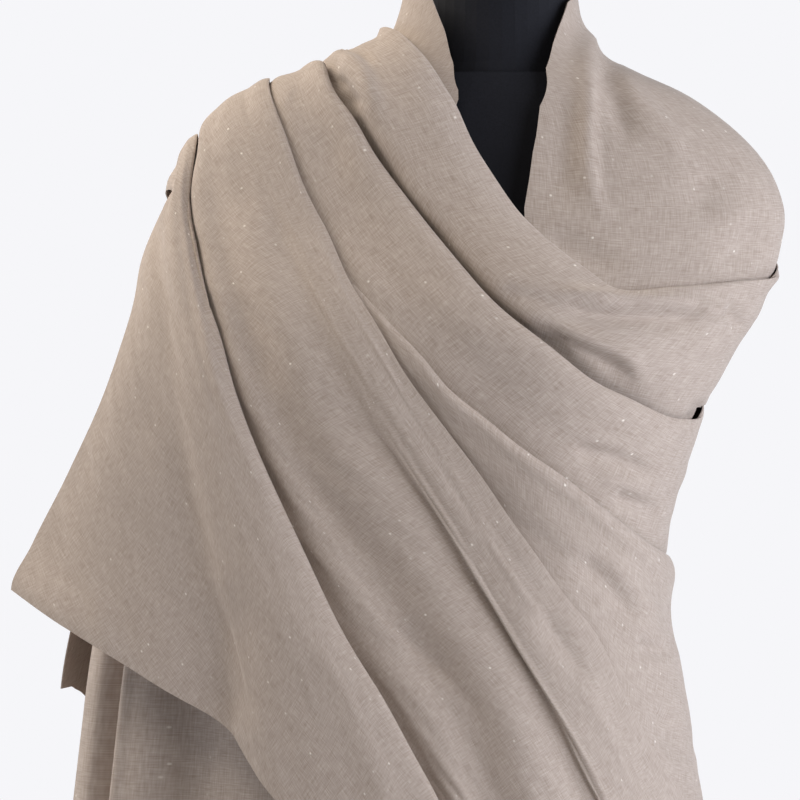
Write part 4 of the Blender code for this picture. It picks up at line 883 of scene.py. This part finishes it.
def woven_pashmina(colours, sizes):
    """Pashmina: fine goat's wool, plain woven from yarns spun of mixed pale and dark fibres, which reads as heather.

    Wool is rough and slightly fuzzy, so it has no highlight, a faint sheen at grazing angles and soft shade.
    """
    made, tree = new_material("plain_woven_pashmina")
    on_cloth = add_node(tree, "ShaderNodeUVMap", uv_map="cloth").outputs["UV"]
    # Yarns along, yarns across and fine hairs. Slubs are about 14 mm long; the yarn is 0.4 mm thick, drawn at the
    # pitch in sizes so that it shows. Each layer is moved aside so that no two line up.
    long, pitch = 1 / 0.014, 1 / sizes.thread_pitch
    streaks = []
    for layer, scale in enumerate(((long, pitch, 1), (pitch, long, 1), (long * 2.4, pitch * 1.7, 1))):
        aside = (17.0 * layer, 5.0, 3.0 * layer)
        stretched = add_node(tree, "ShaderNodeMapping", {"Vector": on_cloth, "Scale": scale, "Location": aside})
        streaks.append(add_node(
            tree, "ShaderNodeTexNoise",
            {"Vector": stretched.outputs["Vector"], "Scale": 1.0, "Detail": 1.0, "Roughness": 0.5},
        ).outputs["Fac"])
    both = add_node(tree, "ShaderNodeMath", {0: streaks[0], 1: streaks[1]}, operation="ADD").outputs[0]
    mixed = add_node(tree, "ShaderNodeMath", {0: streaks[2], 1: 0.7, 2: both}, operation="MULTIPLY_ADD").outputs[0]
    # Uneven dyeing shows as faint clouds about 25 mm wide
    cloud = add_node(tree, "ShaderNodeTexNoise", {"Vector": on_cloth, "Scale": 40.0, "Detail": 2.0}).outputs["Fac"]
    mixed = add_node(tree, "ShaderNodeMath", {0: cloud, 1: 0.25, 2: mixed}, operation="MULTIPLY_ADD").outputs[0]
    heather = add_node(tree, "ShaderNodeMapRange", {"Value": mixed, "From Min": 0.85, "From Max": 2.1})
    yarn = add_node(
        tree, "ShaderNodeMix", {0: heather.outputs["Result"], 6: colours.dark_yarn, 7: colours.pale_yarn},
        data_type="RGBA",
    ).outputs[2]
    # Neps: little knots of pale fibre, about 2 mm across and 40 mm apart
    specks = add_node(tree, "ShaderNodeTexVoronoi", {"Vector": on_cloth, "Scale": 34.0}, voronoi_dimensions="2D")
    near = add_node(
        tree, "ShaderNodeMapRange",
        {"Value": specks.outputs["Distance"], "From Min": 0.015, "From Max": 0.042, "To Min": 1.0, "To Max": 0.0},
    ).outputs["Result"]
    picked = add_node(tree, "ShaderNodeSeparateColor", {"Color": specks.outputs["Color"]}).outputs["Red"]
    picked = add_node(tree, "ShaderNodeMapRange", {"Value": picked, "From Min": 0.5, "To Max": 0.75}).outputs["Result"]
    nep = add_node(tree, "ShaderNodeMath", {0: near, 1: picked}, operation="MULTIPLY").outputs[0]
    wool = {"Roughness": 0.88, "IOR": 1.54, "Specular IOR Level": 0.2, "Sheen Weight": 0.12, "Sheen Roughness": 0.6,
            "Sheen Tint": (1.0, 0.96, 0.92, 1.0)}
    close_material(tree, nep, (yarn, colours.nep), wool, mixed, 0.22, sizes.yarn_relief)
    return made


def knitted_jersey(colours):
    """Black cotton jersey over foam: knitted fine and stretched smooth, so it is matt with a faint sheen."""
    made, tree = new_material("stretched_cotton_jersey")
    at = add_node(tree, "ShaderNodeTexCoord").outputs["Object"]
    # Wales are 0.7 mm apart, drawn at 1.6 mm so that they show
    knit = add_node(tree, "ShaderNodeTexNoise", {"Vector": at, "Scale": 620.0, "Detail": 2.0}).outputs["Fac"]
    wear = add_node(tree, "ShaderNodeTexNoise", {"Vector": at, "Scale": 14.0, "Detail": 4.0}).outputs["Fac"]
    share = add_node(tree, "ShaderNodeMath", {0: knit, 1: wear}, operation="MULTIPLY").outputs[0]
    cotton = {"Roughness": 0.85, "Specular IOR Level": 0.2, "Sheen Weight": 0.04, "Sheen Roughness": 0.5}
    close_material(tree, share, (colours.jersey, colours.jersey_worn), cotton, knit, 0.35, 0.0003)
    return made


def moulded_abs(colours):
    """The neck's cap, moulded in black ABS with a fine spark-eroded grain: satin, with a soft highlight."""
    made, tree = new_material("moulded_abs")
    at = add_node(tree, "ShaderNodeTexCoord").outputs["Object"]
    # Grain is 0.3 mm wide, drawn at 1.1 mm so that it shows
    grain = add_node(tree, "ShaderNodeTexNoise", {"Vector": at, "Scale": 900.0, "Detail": 2.0}).outputs["Fac"]
    plastic = {"Roughness": 0.42, "IOR": 1.53}
    close_material(tree, grain, (colours.plastic, colours.plastic_worn), plastic, grain, 0.2, 0.0002)
    return made


def powder_coated_steel(colours):
    """The pole and base, steel under baked dark powder paint: an orange-peel skin with a broad soft highlight."""
    made, tree = new_material("powder_coated_steel")
    at = add_node(tree, "ShaderNodeTexCoord").outputs["Object"]
    # The paint's peel is 2.4 mm wide
    peel = add_node(tree, "ShaderNodeTexNoise", {"Vector": at, "Scale": 420.0, "Detail": 3.0}).outputs["Fac"]
    dust = add_node(tree, "ShaderNodeTexNoise", {"Vector": at, "Scale": 9.0, "Detail": 5.0}).outputs["Fac"]
    paint = {"Roughness": 0.45, "IOR": 1.5}
    close_material(tree, dust, (colours.steel, colours.steel_dusty), paint, peel, 0.25, 0.0003)
    return made


def matt_floor(colours):
    """Floor paint: matt, with faint clouds where it is rolled on unevenly."""
    made, tree = new_material("matt_painted_floor")
    at = add_node(tree, "ShaderNodeTexCoord").outputs["Object"]
    cloud = add_node(tree, "ShaderNodeTexNoise", {"Vector": at, "Scale": 2.0, "Detail": 4.0}).outputs["Fac"]
    paler = tuple(min(1.0, part * 1.02) for part in colours.floor)
    close_material(tree, cloud, (colours.floor, paler), {"Roughness": 0.8})
    return made


def colour_property(name, description, code):
    """A colour that a user can change, from its sRGB code."""
    return bpy.props.FloatVectorProperty(
        name=name, description=description, subtype="COLOR", size=4, min=0.0, max=1.0, default=linear(code)
    )


def length_property(name, description, value):
    """A length in metres that a user can change."""
    return bpy.props.FloatProperty(
        name=name, description=description, subtype="DISTANCE", unit="LENGTH", default=value, min=0.0, precision=5
    )


class ShawlSizes(bpy.types.PropertyGroup):
    """Sizes of the cloth and its drawing."""

    cloth_thickness: length_property("Cloth thickness", "Thickness of the woven cloth", 0.0009)
    cell: length_property("Cell", "Spacing of the points across a stretch of cloth", 0.0028)
    thread_pitch: length_property("Thread pitch", "Spacing of the drawn yarns", 0.0009)
    yarn_relief: length_property("Yarn relief", "Height of the drawn yarns", 0.0004)


class ShawlColours(bpy.types.PropertyGroup):
    """Colours of the yarns, the form and the studio."""

    dark_yarn: colour_property("Dark yarn", "Darkest of the heathered fibres", "#8E7D70")
    pale_yarn: colour_property("Pale yarn", "Palest of the heathered fibres", "#BFB0A5")
    nep: colour_property("Nep", "Little knots of undyed fibre", "#F0E8DC")
    jersey: colour_property("Jersey", "Cover of the dress form", "#101015")
    jersey_worn: colour_property("Worn jersey", "Cover where handling has made it paler", "#212128")
    plastic: colour_property("Plastic", "Cap of the neck", "#1B1B1F")
    plastic_worn: colour_property("Worn plastic", "Cap where it is rubbed", "#25252A")
    steel: colour_property("Steel paint", "Powder coat of the stand", "#2B2B2D")
    steel_dusty: colour_property("Dusty steel paint", "Powder coat under a little dust", "#38383A")
    floor: colour_property("Floor", "Studio floor", "#EDEDEF")
    air: colour_property("Air", "Light all round the studio", "#F6F6F9")
    daylight: colour_property("Daylight", "Soft window light", "#ECF3FF")
    lamplight: colour_property("Lamplight", "Warmer light from the reflectors", "#FFF9EE")


def finished_cloth():
    """The one pashmina material, made once."""
    found = bpy.data.materials.get("plain_woven_pashmina")
    return found or woven_pashmina(bpy.context.scene.shawl_colours, bpy.context.scene.shawl_sizes)


def settle(piece, nodes):
    """Rides the piece on the form and lets it stand for its solids."""
    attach(piece, BODY)
    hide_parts(*nodes)


class SHAWL_OT_cape(bpy.types.Operator):
    """The cloth round the neck, over the left shoulder, down the back and hanging at the right hip."""

    bl_idname = "shawl.cape"
    bl_label = "Hanging cloth"

    def execute(self, context):
        grids, places = make_cape()
        piece = shell("cape", grids, places, context.scene.shawl_sizes.cloth_thickness / MM, finished_cloth())
        nodes = ("left_shoulder", "right_collar", "back_panel", "hanging_end")
        settle(piece, nodes)
        return {"FINISHED"}


def build_stretches(context, names):
    """Builds the named stretches of the thrown cloth and rides them."""
    sizes = context.scene.shawl_sizes
    for name in names:
        line_names, rows, creases, columns, ripple, turn, seed, nodes, flat, rests_on = STRETCHES[name]
        grid, places = make_stretch(line_names, rows, creases, columns, sizes.cell / MM, ripple, turn, seed)
        piece = shell(name, [grid], [places], sizes.cloth_thickness / MM, finished_cloth())
        settle(piece, nodes)
    return {"FINISHED"}


class SHAWL_OT_pleats(bpy.types.Operator):
    """The three pleats across the chest, the first two going on over the right shoulder and down the back."""

    bl_idname = "shawl.pleats"
    bl_label = "Pleats"

    def execute(self, context):
        return build_stretches(context, ("top_roll", "middle_pleat", "wedge_pleat"))


class SHAWL_OT_front_panel(bpy.types.Operator):
    """The broad panel beside the knife edge, from the hem behind over the shoulder to the lower selvedge."""

    bl_idname = "shawl.front_panel"
    bl_label = "Broad panel"

    def execute(self, context):
        return build_stretches(context, ("broad_panel",))


class SHAWL_OT_shoulder_flap(bpy.types.Operator):
    """The outermost fold over the right shoulder, falling to a corner and a straight hem."""

    bl_idname = "shawl.shoulder_flap"
    bl_label = "Shoulder flap"

    def execute(self, context):
        return build_stretches(context, ("shoulder_fall",))


class SHAWL_OT_dress_form(bpy.types.Operator):
    """Finishes of the dress form and its stand."""

    bl_idname = "shawl.dress_form"
    bl_label = "Dress form"

    def execute(self, context):
        colours = context.scene.shawl_colours
        jersey, plastic, steel = knitted_jersey(colours), moulded_abs(colours), powder_coated_steel(colours)
        finishes = {
            "form_torso": jersey, "form_neck": jersey, "form_cap": plastic, "stand_pole": steel, "stand_base": steel
        }
        for node, finish in finishes.items():
            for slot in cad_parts[node].material_slots:
                slot.material = finish
        return {"FINISHED"}


def add_floor(colours):
    """A plain round floor under the base."""
    turns = np.arange(FLOOR_SIDES) * 2 * np.pi / FLOOR_SIDES
    rim = [(FLOOR_RADIUS * math.cos(turn), FLOOR_RADIUS * math.sin(turn), FLOOR_UP) for turn in turns]
    mesh = bpy.data.meshes.new("floor")
    mesh.from_pydata(rim, [], [list(range(FLOOR_SIDES))])
    mesh.materials.append(matt_floor(colours))
    floor = bpy.data.objects.new("floor", mesh)
    bpy.context.scene.collection.objects.link(floor)


def add_air(colours):
    """A pale surround that gives little light itself."""
    world = bpy.data.worlds.new("studio_air")
    bpy.context.scene.world = world
    world.use_nodes = True
    tree = world.node_tree
    tree.nodes.clear()
    seen = add_node(tree, "ShaderNodeLightPath").outputs["Is Camera Ray"]
    strength = add_node(tree, "ShaderNodeMapRange", {"Value": seen, "To Min": 0.07, "To Max": 1.0}).outputs["Result"]
    air = add_node(tree, "ShaderNodeBackground", {"Color": tuple(colours.air), "Strength": strength})
    add_node(tree, "ShaderNodeOutputWorld", {"Surface": air.outputs["Background"]})


def add_light(name, at, aim, size, power, colour):
    """A square area light, in metres and watts."""
    light = bpy.data.lights.new(name, "AREA")
    light.size = size
    light.energy = power
    light.color = tuple(colour)[:3]
    made = bpy.data.objects.new(name, light)
    bpy.context.scene.collection.objects.link(made)
    made.location = at
    made.rotation_euler = (Vector(aim) - Vector(at)).to_track_quat("-Z", "Y").to_euler()


def add_camera():
    """The camera, at the eye of the front elevation."""
    lens = bpy.data.cameras.new("camera")
    lens.sensor_width = SENSOR_WIDTH
    lens.lens = SENSOR_WIDTH * EYE_DISTANCE / VIEW_WIDTH
    camera = bpy.data.objects.new("camera", lens)
    bpy.context.scene.collection.objects.link(camera)
    camera.location = (EYE_ACROSS * MM, -EYE_DISTANCE * MM, EYE_HEIGHT * MM)
    camera.rotation_euler = (math.pi / 2, 0, 0)
    bpy.context.scene.camera = camera


class SHAWL_OT_studio(bpy.types.Operator):
    """The floor, the soft lights and the camera."""

    bl_idname = "shawl.studio"
    bl_label = "Studio"

    def execute(self, context):
        colours = context.scene.shawl_colours
        add_floor(colours)
        add_air(colours)
        for name, at, aim, size, power, colour in LIGHTS:
            add_light(name, at, aim, size, power, getattr(colours, colour))
        add_camera()
        context.scene.view_settings.view_transform = "Standard"
        return {"FINISHED"}


OPERATORS = (
    SHAWL_OT_studio,
    SHAWL_OT_dress_form,
    SHAWL_OT_cape,
    SHAWL_OT_pleats,
    SHAWL_OT_front_panel,
    SHAWL_OT_shoulder_flap,
)


class SHAWL_PT_panel(bpy.types.Panel):
    """The shawl's sizes, colours and pieces."""

    bl_label = "Shawl"
    bl_idname = "SHAWL_PT_panel"
    bl_space_type = "VIEW_3D"
    bl_region_type = "UI"
    bl_category = "Shawl"

    def draw(self, context):
        for group in (context.scene.shawl_sizes, context.scene.shawl_colours):
            for name in group.__annotations__:
                self.layout.prop(group, name)
        for operator in OPERATORS:
            self.layout.operator(operator.bl_idname)


CLASSES = (ShawlSizes, ShawlColours, *OPERATORS, SHAWL_PT_panel)


def register():
    for made in CLASSES:
        bpy.utils.register_class(made)
    bpy.types.Scene.shawl_sizes = bpy.props.PointerProperty(type=ShawlSizes)
    bpy.types.Scene.shawl_colours = bpy.props.PointerProperty(type=ShawlColours)


def unregister():
    del bpy.types.Scene.shawl_sizes
    del bpy.types.Scene.shawl_colours
    for made in reversed(CLASSES):
        bpy.utils.unregister_class(made)


def main():
    """Builds every piece in order."""
    register()
    for operator in OPERATORS:
        group, name = operator.bl_idname.split(".")
        if getattr(getattr(bpy.ops, group), name)() != {"FINISHED"}:
            raise RuntimeError(operator.bl_label + " wasn't built")


if __name__ == "__main__":
    main()
